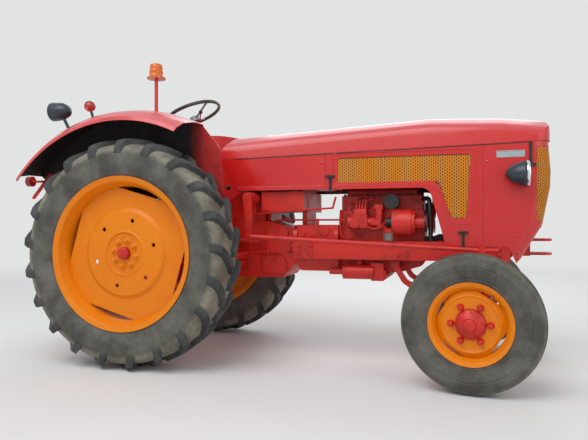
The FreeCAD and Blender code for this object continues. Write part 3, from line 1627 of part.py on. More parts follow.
def fenders():
    """The shell fenders: a crowned top with a rolled lip and an inner wall down to the axle."""
    inside, outside = -S.fender_inside, -S.fender_outside
    crown, lip, sheet_t = fender_radius, fender_lip_radius, S.fender_wall
    shell = new_body("fender_shell")
    turning = shell.newObject("PartDesign::Revolution", "fender_turning")
    sketch = draw(shell, "across", [[
        (inside, 300), (inside, crown), (inside - 130, crown - 5), (inside - 250, crown - 34),
        (outside + 12, crown - 76), (outside, lip), (outside + sheet_t, lip),
        (outside + 12 + sheet_t, crown - 79), (inside - 248, crown - 39),
        (inside - 129, crown - 10), (inside - sheet_t, crown - 5), (inside - sheet_t, 300),
    ]])
    turning.Profile = sketch
    turning.ReferenceAxis = (sketch, ["H_Axis"])
    bind(turning, "Angle", S.fender_front_angle + S.fender_rear_angle)
    shell.Tip = turning
    place(shell, S.fender_centre_x, 0, S.fender_centre_z,
          Rotation(Vector(0, 1, 0), -S.fender_rear_angle.number))
    apron = prism("fender_apron", "side", [[
        (100, 900), (130, S.platform_z), (610, S.platform_z + 40), (576, 1090, 200), (545, 1400, 120),
        (424, 1548), (300, 1500),
    ]], inside - sheet_t, inside)
    foot = cut("fender_foot", box("fender_foot_block", (-50, 50), (inside - sheet_t, inside + 30),
                                  (axle_z, 940)),
               drum("fender_foot_seat", "Y", (0, inside - 20, axle_z), 80,
                    S.axle_housing_radius + S.running_gap))
    return both_sides("fenders", fuse("fender_right", [shell, apron, foot]))


def fender_seat(name):
    """The space under the right fender's crown, to seat what stands on it."""
    inside, outside = -S.fender_inside, -S.fender_outside
    crown = fender_radius + S.running_gap
    space = turned(name, [
        (inside, 200), (inside, crown), (inside - 130, crown - 5), (inside - 250, crown - 34),
        (outside + 12, crown - 76), (outside, fender_lip_radius), (outside, 200),
    ])
    return place(space, S.fender_centre_x, 0, S.fender_centre_z)


publish(fenders(), "fenders")


def seat_frame():
    """The seat's pedestal and its pressed pan."""
    pedestal = prism("seat_pedestal", "side", [[
        (-200, 1080), (60, 1080), (-60, 1210), (-80, 1226), (-380, 1226), (-380, 1210), (-150, 1200),
    ][::-1]], -60, 60)
    pan = prism("seat_pan", "side", [[
        (-60, 1226), (-60, 1232), (-437, 1232), (-497, 1500), (-503, 1500), (-442, 1226),
    ]], -215, 215)
    return fuse("seat_frame", [pedestal, pan])


publish(seat_frame(), "seat_frame")


def seat_cushion():
    """The cushion and the back pad."""
    base = box("seat_base", (-425, -75), (-205, 205), (1232.3, 1295))
    back = prism("seat_back", "side", [[
        (-454, 1310), (-404, 1310), (-444, 1490), (-494.3, 1490),
    ][::-1]], -205, 205)
    return group("seat_cushion", [base, back])


publish(seat_cushion(), "seat_cushion")


pedal_pivot_x = 685
LEVER_KNOB = [(-20, 0), (-18, 9), (-9, 18), (9, 18), (18, 9), (20, 0)]


def control_rods():
    """The two rods of the engine's controls, along the right side above the clutch housing."""
    thin, y = 6, -262
    lever_x, lever_z = S.drop_shaft_x, 978
    lever = cut("throttle_arm", box("throttle_arm_blank", (lever_x - 8, lever_x + 8), (y - 5, y + 5),
                                    (lever_z - 8, S.drop_shaft_z)),
                drum("throttle_arm_seat", "Y", (S.drop_shaft_x, y - 20, S.drop_shaft_z), 40,
                     gear_boss_radius + pipe_gap))
    upper = fuse("throttle_rod", [
        lever,
        rod("throttle_rod_long", (lever_x, y, lever_z), (1231, y, 1013), thin),
        rod("throttle_rod_rise", (1228, y, 1010), (1250, y, 1085), thin + 1),
    ])
    low_y, low_z = -196, 937
    lower = fuse("stop_rod", [
        box("stop_rod_stand", (1100, 1114), (low_y - 8, low_y + 30), (905 + pipe_gap, low_z + 8)),
        rod("stop_rod_long", (820, low_y, low_z), (1322 - pipe_gap, low_y, low_z), thin),
    ])
    return [upper, lower]


def controls():
    """The gear levers, the hand levers, the pedals and the rods to the engine."""
    sticks = []
    for number, (foot_x, foot_y, top_x, top_y) in enumerate(((450, 100, 330, 130), (540, 110, 420, 165))):
        sticks.append(fuse(f"gear_stick_{number}", [
            drum(f"gear_boot_{number}", "Z", (foot_x, foot_y, 930), 22, 22),
            rod(f"gear_lever_{number}", (foot_x, foot_y, 940), (top_x, top_y, 1180), 8),
            place(turned(f"gear_knob_{number}", LEVER_KNOB), top_x, top_y, 1186),
        ]))
    side = S.gearbox_half_width
    pedals = []
    for number, (left, y) in enumerate(((-1, 290), (1, 260), (1, 360))):
        pedals.append(fuse(f"pedal_{number}", [
            box(f"pedal_pad_{number}", (470, 482), (left * y - 35, left * y + 35), (790, 860)),
            rod(f"pedal_arm_{number}", (480, left * y, 820),
                (pedal_pivot_x, (side + 22) * left, 790 - 10 * number), 9),
            drum(f"pedal_pivot_{number}", "Y",
                 (pedal_pivot_x, side * left if left > 0 else -side - 30, 790 - 10 * number), 30, 16),
        ]))
    return group("controls", [*sticks, *pedals, *control_rods()])


publish(controls(), "controls")


def beacon():
    """The flashing beacon's lens on its flanged base, and the pole under it."""
    x, y, top = S.beacon_x, -S.beacon_y, S.beacon_top
    foot = fender_crown_z - 150
    pole = cut("beacon_pole", drum("beacon_tube", "Z", (x, y, foot), top - 100 - pipe_gap - foot, 12),
               fender_seat("beacon_seat"))
    lens = group("beacon_lens", [turned("beacon_turning", [
        (0, 0), (0, 62), (10, 62), (16, 46), (58, 46), (62, 42), (66, 44), (92, 42), (100, 30), (100, 0),
    ])])
    return place(lens, x, y, top - 100, Rotation(Vector(1, 0, 0), 90)), pole


beacon_lens, beacon_pole = beacon()
publish(group("beacon_stood", [beacon_lens]), "beacon")
publish(beacon_pole, "beacon_pole")


def over_crown(angle, y, height):
    """A point over the right fender, an angle back along its arc and out from its crown."""
    angle = as_size(angle)
    slope = 5 / 130
    out = fender_radius + (S.fender_inside + y) * slope + height
    return S.fender_centre_x - out * sine(angle), y, S.fender_centre_z + out * cosine(angle)


def tail_lamps():
    """The tail lamps on flat bars from the fenders' rear ends."""
    near = -S.fender_inside - S.fender_wall - pipe_gap
    bar = prism("tail_bar", "side", [[
        (-724, 1262), (-742, 1240), (-884, 1088), (-904, 1088), (-904, 1104), (-762, 1262),
    ]], near - 6, near)
    arm = box("tail_arm", (-860, -775), (near - 56, near), (1202, 1214))
    lamp = drum("tail_lamp", "X", (-890, near - 56, 1208), 34, 36)
    return both_sides("tail_lamps", fuse("tail_lamp_right", [bar, arm, lamp]))


def fender_lamps():
    """The work lamp and the small lamp on the right fender, and both tail lamps."""
    seat = 0.7
    shell = turned("work_lamp_shell", [
        (-80, 0), (-80, 18), (-66, 38), (-24, 58), (36, 64), (60, 64), (60, 0),
    ])
    place(shell, *over_crown(30.3, -540, 214), Rotation(Vector(0, 0, 1), 90))
    work = fuse("work_lamp", [
        shell,
        rod("work_lamp_stud", over_crown(30.3, -540, seat), over_crown(30.3, -540, 204), 11),
    ])
    can = turned("side_lamp_can", [
        (-34, 0), (-34, 16), (-24, 29), (-6, 36), (12, 36), (26, 27), (32, 14), (32, 0),
    ])
    place(can, *over_crown(17.4, -610, 103), Rotation(Vector(0, 0, 1), 90))
    side = fuse("side_lamp", [
        can,
        rod("side_lamp_stud", over_crown(17.4, -610, seat), over_crown(17.4, -610, 94), 9),
    ])
    return group("fender_lamps", [work, side, tail_lamps()])


publish(fender_lamps(), "fender_lamps")

# Rear hitch and lift


def rear_hitch():
    """The towing jaw and the brackets of the lower links."""
    block = box("jaw_block", (-330, -250), (-90, 90), (520, 590))
    jaws = [prism(f"rear_jaw_{name}", "plan", [[
        (-320, -70), (-430, -55, 30), (-450, 0), (-430, 55, 30), (-320, 70),
    ][::-1]], z, z + 18) for name, z in (("low", 520), ("high", 572))]
    pin_hole = drum("rear_pin_hole", "Z", (-395, 0, 500), 120, 16)
    brackets = [box(f"link_bracket_{name}", (-165, -75), (start, start + 30), (440, 547))
                for name, start in (("right", -190), ("left", 160))]
    pins = drum("link_pins", "Y", (-120, -275, S.link_pivot_z), 550, S.link_pin_radius)
    return fuse("rear_hitch", [cut("rear_jaw", fuse("rear_jaw_metal", [block, *jaws]), pin_hole),
                               *brackets, pins])


publish(rear_hitch(), "rear_hitch")


def pto_shaft():
    """The power take-off's stub and its flange."""
    stub = drum("pto_stub", "X", (-345, 0, 640), 160, 17.46)
    flange = drum("pto_flange", "X", (-262, 0, 640), 12, 48)
    return fuse("pto_shaft", [stub, flange])


publish(pto_shaft(), "pto_shaft")

shaft_x, shaft_z = S.lift_shaft_x, S.lift_shaft_z
rod_x = shaft_x - S.lift_arm_length


def lift_arms():
    """The lift's cross shaft with an arm at each end."""
    shaft = drum("lift_shaft", "Y", (shaft_x, -S.lift_arm_y - 12, shaft_z), S.lift_arm_y * 2 + 24,
                 S.lift_shaft_radius)
    arms = []
    for name, side in (("right", -1), ("left", 1)):
        middle = side * S.lift_arm_y
        arms.append(prism(f"lift_arm_{name}", "side", [[
            (shaft_x + 42, shaft_z - 30, 20), (shaft_x + 42, shaft_z + 30, 20), (rod_x - 20, shaft_z + 18),
            (rod_x - 20, shaft_z - 18),
        ][::-1]], middle - 12, middle + 12))
        reach = side * (S.lift_arm_y + 34)
        arms.append(drum(f"lift_pin_{name}", "Y", (rod_x, reach if side < 0 else middle, shaft_z), 34,
                         S.link_pin_radius))
    return fuse("lift_arms", [shaft, *arms])


publish(lift_arms(), "lift_arms")


def lift_rods():
    """The two rods between the lift arms and the lower links."""
    bars = []
    for name, side in (("right", -1), ("left", 1)):
        y = side * (S.lift_arm_y + 25)
        eye = 26
        metal = fuse(f"lift_rod_metal_{name}", [
            rod(f"lift_rod_bar_{name}", (rod_x, y, S.link_pivot_z + 24), (rod_x, y, shaft_z - 24), 12),
            drum(f"lift_eye_top_{name}", "Y", (rod_x, y - 10, shaft_z), 20, eye),
            drum(f"lift_eye_low_{name}", "Y", (rod_x, y - 10, S.link_pivot_z), 20, eye),
        ])
        bores = [drum(f"lift_eye_bore_{end}_{name}", "Y", (rod_x, y - 12, z), 24,
                      S.link_pin_radius + S.running_gap)
                 for end, z in (("top", shaft_z), ("low", S.link_pivot_z))]
        bars.append(cut(f"lift_rod_{name}", metal, group(f"lift_bores_{name}", bores)))
    return group("lift_rods", bars)


publish(lift_rods(), "lift_rods")


def lower_links():
    """The two lower links with their rear balls."""
    links = []
    pivot = S.link_pivot_z
    for name, side in (("right", -1), ("left", 1)):
        inner = side * (S.lift_arm_y + 52)
        rear_x = shaft_x - S.link_length
        bar = prism(f"link_bar_{name}", "side", [[
            (shaft_x - 30, pivot - 26), (shaft_x - 30, pivot + 26), (rear_x + 20, pivot + 22),
            (rear_x + 20, pivot - 22),
        ][::-1]], inner - 8, inner + 8)
        eye_start = side * (S.lift_arm_y + 8)
        width = 60
        front = drum(f"link_eye_{name}", "Y",
                     (shaft_x, eye_start - width if side < 0 else eye_start, pivot), width, 32)
        rear = drum(f"link_ball_{name}", "Y", (rear_x, inner - 22, pivot), 44, 38)
        pin = drum(f"link_rod_pin_{name}", "Y",
                   (rod_x, inner if side < 0 else inner - 40, pivot), 40, S.link_pin_radius)
        metal = fuse(f"link_metal_{name}", [bar, front, rear, pin])
        bores = [
            drum(f"link_front_bore_{name}", "Y", (shaft_x, inner - 60, pivot), 120,
                 S.link_pin_radius + S.running_gap),
            drum(f"link_rear_bore_{name}", "Y", (rear_x, inner - 40, pivot), 80, S.link_ball_radius),
        ]
        links.append(cut(f"lower_link_{name}", metal, group(f"link_bores_{name}", bores)))
    return group("lower_links", links)


publish(lower_links(), "lower_links")

# Check every object, then write each sub-part

doc.recompute()

for thing in doc.Objects:
    if "Invalid" in thing.State or "Error" in thing.State:
        raise ValueError(f"{thing.Label} failed: {thing.State}")
for thing in SUB_PARTS:
    if thing.Shape.isNull() or not thing.Shape.isValid() or not thing.Shape.Solids:
        raise ValueError(f"{thing.Label} has no valid solid")

os.makedirs("parts", exist_ok=True)
for thing in SUB_PARTS:
    thing.Shape.exportStep(f"parts/{thing.Label}.step")
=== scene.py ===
import json
import math

import bmesh
import bpy
from mathutils import Matrix, Vector
from mathutils.bvhtree import BVHTree


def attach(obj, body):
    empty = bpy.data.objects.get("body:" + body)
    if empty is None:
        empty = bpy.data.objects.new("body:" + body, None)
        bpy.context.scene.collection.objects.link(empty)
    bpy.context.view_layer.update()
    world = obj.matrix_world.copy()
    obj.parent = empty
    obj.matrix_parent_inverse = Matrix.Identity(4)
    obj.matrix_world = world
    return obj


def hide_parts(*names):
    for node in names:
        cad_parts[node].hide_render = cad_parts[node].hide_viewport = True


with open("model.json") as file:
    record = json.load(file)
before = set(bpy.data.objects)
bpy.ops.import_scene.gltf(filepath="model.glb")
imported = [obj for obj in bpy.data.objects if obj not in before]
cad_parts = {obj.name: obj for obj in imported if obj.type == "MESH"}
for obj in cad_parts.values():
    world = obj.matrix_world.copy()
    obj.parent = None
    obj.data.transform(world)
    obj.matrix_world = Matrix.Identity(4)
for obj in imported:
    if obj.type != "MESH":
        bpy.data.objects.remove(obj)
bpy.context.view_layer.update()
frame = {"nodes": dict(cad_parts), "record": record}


# Castings: rear axle, gearbox, clutch housing and engine, in sand-cast grey iron.
# Each is bolted to the next, face to face, and carries the rest of the tractor.
# All of it was sprayed red in one go, and has since gone dull with oil and dust.

AXLE_TO_MIDDLE = 822


def at(x, y, z):
    """A place given in millimetres from the rear axle, the middle plane and the ground."""
    return Vector(((x - AXLE_TO_MIDDLE) / 1000, y / 1000, z / 1000))


def hex_colour(code):
    """An sRGB hex colour as linear red, green, blue and alpha."""
    parts = [int(code[place:place + 2], 16) / 255 for place in (1, 3, 5)]
    return [part / 12.92 if part <= 0.04045 else ((part + 0.055) / 1.055) ** 2.4 for part in parts] + [1]


def add_node(tree, kind, settings=None, links=None):
    """Add a node with its settings, and give its inputs values or sockets."""
    node = tree.nodes.new(kind)
    for name, value in (settings or {}).items():
        setattr(node, name, value)
    for name, value in (links or {}).items():
        if isinstance(value, bpy.types.NodeSocket):
            tree.links.new(value, node.inputs[name])
        else:
            node.inputs[name].default_value = value
    return node


def new_material(name):
    """An empty material with its node tree, principled shader and object coordinates."""
    material = bpy.data.materials.new(name)
    material.use_nodes = True
    tree = material.node_tree
    shader = tree.nodes["Principled BSDF"]
    place = add_node(tree, "ShaderNodeTexCoord").outputs["Object"]
    return material, tree, shader, place


def patches(tree, place, size, low, high, detail=4.0, rough=0.6):
    """Soft patches of noise, size metres across, as a value from 0 to 1."""
    noise = add_node(tree, "ShaderNodeTexNoise", None,
                     {"Vector": place, "Scale": 1 / size, "Detail": detail, "Roughness": rough})
    ramp = add_node(tree, "ShaderNodeMapRange", {"clamp": True},
                    {"Value": noise.outputs["Fac"], "From Min": low, "From Max": high})
    return ramp.outputs["Result"]


def mixed(tree, amount, first, second):
    """Two colours mixed by an amount."""
    mix = add_node(tree, "ShaderNodeMix", {"data_type": "RGBA"}, {"Factor": amount})
    for socket, value in (("A", first), ("B", second)):
        target = [one for one in mix.inputs if one.name == socket and one.type == "RGBA"][0]
        if isinstance(value, bpy.types.NodeSocket):
            tree.links.new(value, target)
        else:
            target.default_value = value
    return [one for one in mix.outputs if one.type == "RGBA"][0]


def times(tree, first, second):
    """The product of two values."""
    return add_node(tree, "ShaderNodeMath", {"operation": "MULTIPLY"}, {0: first, 1: second}).outputs[0]


def ranged(tree, value, low, high):
    """A value from 0 to 1 moved to another range."""
    return add_node(tree, "ShaderNodeMapRange", None,
                    {"Value": value, "To Min": low, "To Max": high}).outputs["Result"]


def roughened(tree, shader, place, grain, height, strength):
    """A fine bump of the given grain and height in metres on a shader."""
    noise = add_node(tree, "ShaderNodeTexNoise", None,
                     {"Vector": place, "Scale": 1 / grain, "Detail": 3.0, "Roughness": 0.6})
    bump = add_node(tree, "ShaderNodeBump", None,
                    {"Height": noise.outputs["Fac"], "Distance": height, "Strength": strength})
    tree.links.new(bump.outputs["Normal"], shader.inputs["Normal"])


def coated(name, colour, coats, settings, grain=None):
    """A procedural material: one colour, with coats of others over it in soft patches.

    A coat is its colour and amount, then its patches or a rule that makes its mask. A setting is
    a number, or the coat that it follows with its values where that is nought and full."""
    material, tree, shader, place = new_material(name)
    shade, masks = hex_colour(colour), []
    for over, amount, *patch in coats:
        masks.append(patch[0](tree, place) if callable(patch[0]) else patches(tree, place, *patch))
        shade = mixed(tree, times(tree, masks[-1], amount), shade, hex_colour(over))
    tree.links.new(shade, shader.inputs["Base Color"])
    for socket, value in settings.items():
        if isinstance(value, tuple):
            tree.links.new(ranged(tree, masks[value[0]], *value[1:]), shader.inputs[socket])
        else:
            shader.inputs[socket].default_value = value
    if grain:
        roughened(tree, shader, place, *grain)
    return material


def painted_casting(name, paint, grime, amount):
    """Machine enamel sprayed on sand-cast iron: the mould's 3 mm grain shows, oily dust dulls it."""
    return coated(name, paint, [(grime, 0.3, 0.016, 0.42, 0.78, 6.0), (grime, amount, 0.11, 0.46, 0.7)],
                  {"Roughness": (1, 0.4, 0.62), "IOR": 1.5}, (0.003, 0.0006, 0.45))


CASTING_RED = painted_casting("painted_iron", "#D02216", "#5A1C10", 0.36)

body_of = {node: body for body, nodes in frame["record"]["behaviour"]["bodies"].items() for node in nodes}
slot_of = {entry["node"]: entry["material_slot"] for entry in frame["record"]["subparts"]}


def finish_piece(piece, body, slot, *nodes):
    """Tie a piece to its body and to the nodes that it stands for; its slot is not used."""
    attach(piece, body)
    if nodes:
        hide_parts(*nodes)
    return piece


def new_piece(name, mesh, material):
    """An object at the origin with one material."""
    piece = bpy.data.objects.new(name, mesh)
    bpy.context.scene.collection.objects.link(piece)
    mesh.materials.clear()
    mesh.materials.append(material)
    return piece


def smooth(mesh, degrees):
    """Shade a mesh smooth except over edges sharper than this."""
    mesh.shade_smooth()
    mesh.set_sharp_from_angle(angle=math.radians(degrees))


def show(name, mesh, material, degrees, body, slot, *nodes):
    """A piece from a mesh, shaded smooth where an angle is given, and tied to its body."""
    piece = new_piece(name, mesh, material)
    if degrees:
        smooth(mesh, degrees)
    return finish_piece(piece, body, slot, *nodes)


def rounded(piece, width, degrees):
    """Round a piece's edges that are sharper than an angle."""
    bevel = piece.modifiers.new("rounding", "BEVEL")
    bevel.width = width
    bevel.segments = 2
    bevel.limit_method = "ANGLE"
    bevel.angle_limit = math.radians(degrees)
    return bevel


def dress(node, material, edge=0.0015, degrees=32, *trims):
    """A node's own form with its edges rounded, as the real piece's are, and other finishes on it.

    Each trim is a material with the rule that picks its faces."""
    mesh = frame["nodes"][node].data.copy()
    form = bmesh.new()
    form.from_mesh(mesh)
    bmesh.ops.remove_doubles(form, verts=form.verts, dist=0.00002)
    bmesh.ops.dissolve_degenerate(form, edges=form.edges, dist=0.00005)
    bmesh.ops.dissolve_limit(form, angle_limit=math.radians(0.6), verts=form.verts, edges=form.edges)
    form.to_mesh(mesh)
    form.free()
    piece = new_piece(f"{node}_dressed", mesh, material)
    for number, (trim, picks) in enumerate(trims, 1):
        mesh.materials.append(trim)
        for face in mesh.polygons:
            if picks(face):
                face.material_index = number
    smooth(mesh, degrees)
    rounded(piece, edge, degrees).harden_normals = True
    return finish_piece(piece, body_of[node], slot_of[node], node)


for node in ("rear_axle_housing", "gearbox", "clutch_housing", "steering_gear"):
    dress(node, CASTING_RED, 0.004)
for node in ("engine_block", "cylinder_head"):
    dress(node, CASTING_RED, 0.003)
for node in ("exhaust", "fan", "radiator"):
    dress(node, CASTING_RED, 0.002)


# Bolts of the castings: hexagon heads with a flange.
# They hold covers, flanges and the engine's ancillaries, and are painted over with the castings.

def mesh_of(form, outwards=True):
    """What was drawn as a mesh, with its faces turned outwards."""
    if outwards:
        bmesh.ops.recalc_face_normals(form, faces=form.faces)
    mesh = bpy.data.meshes.new("shape")
    form.to_mesh(mesh)
    form.free()
    return mesh


def evaluated(thing):
    """The plain mesh of an object with its modifiers or its curve's thickness."""
    return bpy.data.meshes.new_from_object(thing.evaluated_get(bpy.context.evaluated_depsgraph_get()))


def lathe(profile, steps=32, ring=False):
    """A mesh turned about Z from (height, radius) pairs, closed at both ends or as a ring."""
    form = bmesh.new()
    rings = []
    for height, radius in profile:
        if radius < 1e-6:
            rings.append([form.verts.new((0, 0, height))])
        else:
            rings.append([form.verts.new((radius * math.cos(math.tau * step / steps),
                                          radius * math.sin(math.tau * step / steps), height))
                          for step in range(steps)])
    for low, high in zip(rings, rings[1:] + rings[:1] if ring else rings[1:]):
        for step in range(steps):
            corners = [low[step % len(low)], low[(step + 1) % len(low)],
                       high[(step + 1) % len(high)], high[step % len(high)]]
            corners = list(dict.fromkeys(corners))
            if len(corners) > 2:
                form.faces.new(corners)
    for end in () if ring else (rings[0], rings[-1]):
        if len(end) > 1:
            form.faces.new(end)
    return mesh_of(form)


def turn_to(direction, place):
    """The move that stands something drawn about Z along a direction at a place."""
    return Matrix.Translation(place) @ Vector(direction).to_track_quat("Z", "Y").to_matrix().to_4x4()


def joined(meshes):
    """Several meshes as one."""
    form = bmesh.new()
    for mesh in meshes:
        form.from_mesh(mesh)
    return mesh_of(form, False)


def placed(mesh, direction, place):
    """A mesh drawn about Z, stood along a direction at a place."""
    mesh.transform(turn_to(direction, place))
    return mesh


def hex_head(across, height):
    """A hexagon bolt head on its washer flange."""
    half = across / 2 / math.cos(math.pi / 6)
    washer = lathe([(-0.002, half * 1.15), (height * 0.25, half * 1.15), (height * 0.25, half * 0.9)], 12)
    head = lathe([(0, half), (height * 0.85, half), (height, half * 0.86), (height, half * 0.5)], 6)
    return joined([washer, head])


def dome_head(radius, height):
    """A domed rivet or bolt head."""
    return lathe([(-0.002, radius), (height * 0.35, radius), (height * 0.8, radius * 0.72),
                  (height, radius * 0.3)], 12)


def repeat_tree(name, inputs, spread):
    """A tree that sets a shape on the points that spread gives, as real faces of one finish."""
    tree = bpy.data.node_groups.new(name, "GeometryNodeTree")
    for socket, kind in (*inputs, ("Shape", "Object"), ("Finish", "Material")):
        tree.interface.new_socket(socket, in_out="INPUT", socket_type=f"NodeSocket{kind}")
    tree.interface.new_socket("Copies", in_out="OUTPUT", socket_type="NodeSocketGeometry")
    given = add_node(tree, "NodeGroupInput").outputs
    shape = add_node(tree, "GeometryNodeObjectInfo", None, {"Object": given["Shape"]})
    copies = add_node(tree, "GeometryNodeInstanceOnPoints", None,
                      {"Instance": shape.outputs["Geometry"], **spread(tree, given)})
    real = add_node(tree, "GeometryNodeRealizeInstances", None, {0: copies.outputs[0]})
    painted = add_node(tree, "GeometryNodeSetMaterial", None,
                       {"Geometry": real.outputs[0], "Material": given["Finish"]})
    end = add_node(tree, "NodeGroupOutput")
    tree.links.new(painted.outputs[0], end.inputs["Copies"])
    return tree


def as_they_face(tree, given):
    """The given points, each copy stood along the attribute facing."""
    facing = add_node(tree, "GeometryNodeInputNamedAttribute", {"data_type": "FLOAT_VECTOR"},
                      {"Name": "facing"}).outputs["Attribute"]
    turn = add_node(tree, "FunctionNodeAlignRotationToVector", {"axis": "Z"}, {"Vector": facing})
    upright = add_node(tree, "FunctionNodeAlignRotationToVector", {"axis": "Y", "pivot_axis": "Z"},
                       {"Rotation": turn.outputs["Rotation"], "Vector": (0, 0, 1)})
    return {"Points": given["Points"], "Rotation": upright.outputs["Rotation"]}


SET_ON_POINTS = repeat_tree("set_on_points", [("Points", "Geometry")], as_they_face)


def grown(points, shape, tree, **values):
    """The plain mesh that a tree makes of a shape and a mesh of points."""
    holder = bpy.data.objects.new("points", points)
    source = bpy.data.objects.new("shape", shape)
    for one in (holder, source):
        bpy.context.scene.collection.objects.link(one)
    modifier = holder.modifiers.new("repeat", "NODES")
    modifier.node_group = tree
    values["Shape"] = source
    for socket in tree.interface.items_tree:
        if socket.name in values:
            modifier[socket.identifier] = values[socket.name]
    mesh = evaluated(holder)
    holder.modifiers.remove(modifier)
    for one in (holder, source):
        bpy.data.objects.remove(one)
    return mesh


def on_points(head, spots, finish):
    """One mesh of a head set on every spot, given as a place and the way it faces."""
    points = bpy.data.meshes.new("spots")
    points.from_pydata([place for place, facing in spots], [], [])
    facing = points.attributes.new("facing", "FLOAT_VECTOR", "POINT")
    for index, (place, direction) in enumerate(spots):
        facing.data[index].vector = direction
    return grown(points, head, SET_ON_POINTS, Finish=finish)


def fasteners(name, head, spots, finish=CASTING_RED, body="chassis", slot="chassis_red"):
    """A piece made of like heads on one body."""
    return show(name, on_points(head, spots, finish), finish, 40, body, slot)


def on_surface(nodes, start, direction):
    """Where a line from start first meets the nodes, and the way their surface faces there."""
    best = None
    for node in nodes:
        mesh = frame["nodes"][node].data
        tree = BVHTree.FromPolygons([vertex.co for vertex in mesh.vertices],
                                    [polygon.vertices for polygon in mesh.polygons])
        place, normal, index, distance = tree.ray_cast(start, Vector(direction))
        if place is not None and (best is None or distance < best[2]):
            best = (place, normal, distance)
    return best[0], best[1]


FAR_OUT = 900


def side_spots(nodes, spots, both=True):
    """Spots on the outer sides of nodes, from (along, up) in millimetres on the right side."""
    return [on_surface(nodes, at(x, FAR_OUT * side, z), (0, -side, 0))
            for x, z in spots for side in ((-1, 1) if both else (-1,))]


COVER_BOLTS = [(735, 592), (735, 678), (808, 592), (808, 680), (882, 592), (882, 632)]
HOUSING_BOLTS = [(1006, 818), (1050, 818), (1094, 818), (1138, 818), (1182, 818), (985, 760)]
SUMP_BOLTS = [(x, 683) for x in range(1270, 1790, 52)]
flange_x, trumpet_end, trumpet_ring, axle_height, head_top = 943, 534, 86, 725, 1095
flange_bolts = [(at(flange_x, side * (150 + 30 * (z > 700)), z), (-1, 0, 0))
                for side in (-1, 1) for z in (660, 730, 800, 865)]
axle_bolts = [(at(trumpet_ring * math.cos(turn), side * trumpet_end,
                  axle_height + trumpet_ring * math.sin(turn)), (0, -side, 0))
              for side in (-1, 1) for turn in [math.tau * step / 8 for step in range(8)]]
head_bolts = [(at(x, y, head_top), (0, 0, 1)) for x in range(1280, 1790, 70) for y in (-102, 102)]
for name, across, height, spots in (
        ("gearbox_bolts", 0.019, 0.011, side_spots(["gearbox"], COVER_BOLTS)),
        ("housing_bolts", 0.017, 0.010, side_spots(["clutch_housing"], HOUSING_BOLTS)),
        ("flange_bolts", 0.022, 0.013, flange_bolts),
        ("axle_bolts", 0.020, 0.012, axle_bolts),
        ("head_bolts", 0.018, 0.012, head_bolts),
        ("sump_bolts", 0.012, 0.007, side_spots(["engine_block"], SUMP_BOLTS))):
    fasteners(name, hex_head(across, height), spots)


# Engine's right side: injection pump, filter, generator, fan belt and hoses.
# Die-cast housings and drawn pipes under the same red, with black rubber between.

def moulded_plastic(name, colour, scuffed, rough):
    """Moulded rubber or plastic: even in colour, satin, scuffed paler in 20 mm patches."""
    return coated(name, colour, [(scuffed, 0.4, 0.02, 0.5, 0.8, 6.0)],
                  {"Roughness": (0, rough, rough + 0.2), "IOR": 1.49}, (0.002, 0.0002, 0.3))


def bare_steel(name, clean, rust, amount):
    """Turned and forged steel, never painted: dull grey, brown where damp has sat on it."""
    return coated(name, clean, [(rust, amount, 0.03, 0.4, 0.65, 6.0, 0.7)],
                  {"Metallic": (0, 0.9, 0.2), "Roughness": (0, 0.38, 0.7)}, (0.002, 0.0003, 0.4))


HOSE_RUBBER = moulded_plastic("hose_rubber", "#1A1817", "#37322E", 0.45)
STEEL = bare_steel("bare_steel", "#8C8780", "#5A4335", 0.8)


def behind(face, x):
    """Whether a face's middle lies behind a station in millimetres."""
    return face.center.x < at(x, 0, 0).x


def is_collar(face):
    """Whether a face of the generator is on its rubber collar."""
    return behind(face, 1611) and not behind(face, 1573) and face.center.z < 0.952


def is_canister(face):
    """Whether a face of the injection gear is on the filter's canister."""
    return not behind(face, 1556) and face.center.z > 1.0


dress("generator", CASTING_RED, 0.002, 32, (HOSE_RUBBER, is_collar))
dress("injection_gear", CASTING_RED, 0.0012, 32, (HOSE_RUBBER, is_canister))
dress("belt_and_hoses", HOSE_RUBBER, 0.001)

PUMP_SCREWS = [(1352, 892), (1352, 960), (1396, 892), (1440, 892), (1440, 960), (1418, 925)]
generator_end, generator_y, generator_z, screw_ring = 1749, -242, 918, 52
ring_screws = [(at(generator_end, generator_y + screw_ring * math.cos(turn),
                   generator_z + screw_ring * math.sin(turn)), (1, 0, 0)) for turn in (0.6, 2.2, 3.7, 5.3)]
fasteners("pump_screws", dome_head(0.006, 0.005), side_spots(["injection_gear"], PUMP_SCREWS, False))
fasteners("generator_screws", hex_head(0.011, 0.007), ring_screws)


def tube(places, radius, steps, rounding=4, closed=False):
    """A tube drawn smoothly through places in the frame, with ends or closed on itself."""
    data = bpy.data.curves.new("tube", "CURVE")
    data.dimensions = "3D"
    data.bevel_depth = radius
    data.bevel_resolution = rounding
    data.resolution_u = steps
    data.use_fill_caps = not closed
    spline = data.splines.new("NURBS")
    spline.points.add(len(places) - 1)
    for point, place in zip(spline.points, places):
        point.co = (*place, 1)
    spline.order_u = 3
    spline.use_endpoint_u = not closed
    spline.use_cyclic_u = closed
    path = bpy.data.objects.new("tube", data)
    bpy.context.scene.collection.objects.link(path)
    mesh = evaluated(path)
    bpy.data.objects.remove(path)
    return mesh


def pipe(name, radius, places, finish=CASTING_RED, slot="chassis_red"):
    """A bent pipe through places in millimetres."""
    return show(name, tube([at(*place) for place in places], radius, 10, 3), finish, 50, "chassis", slot)


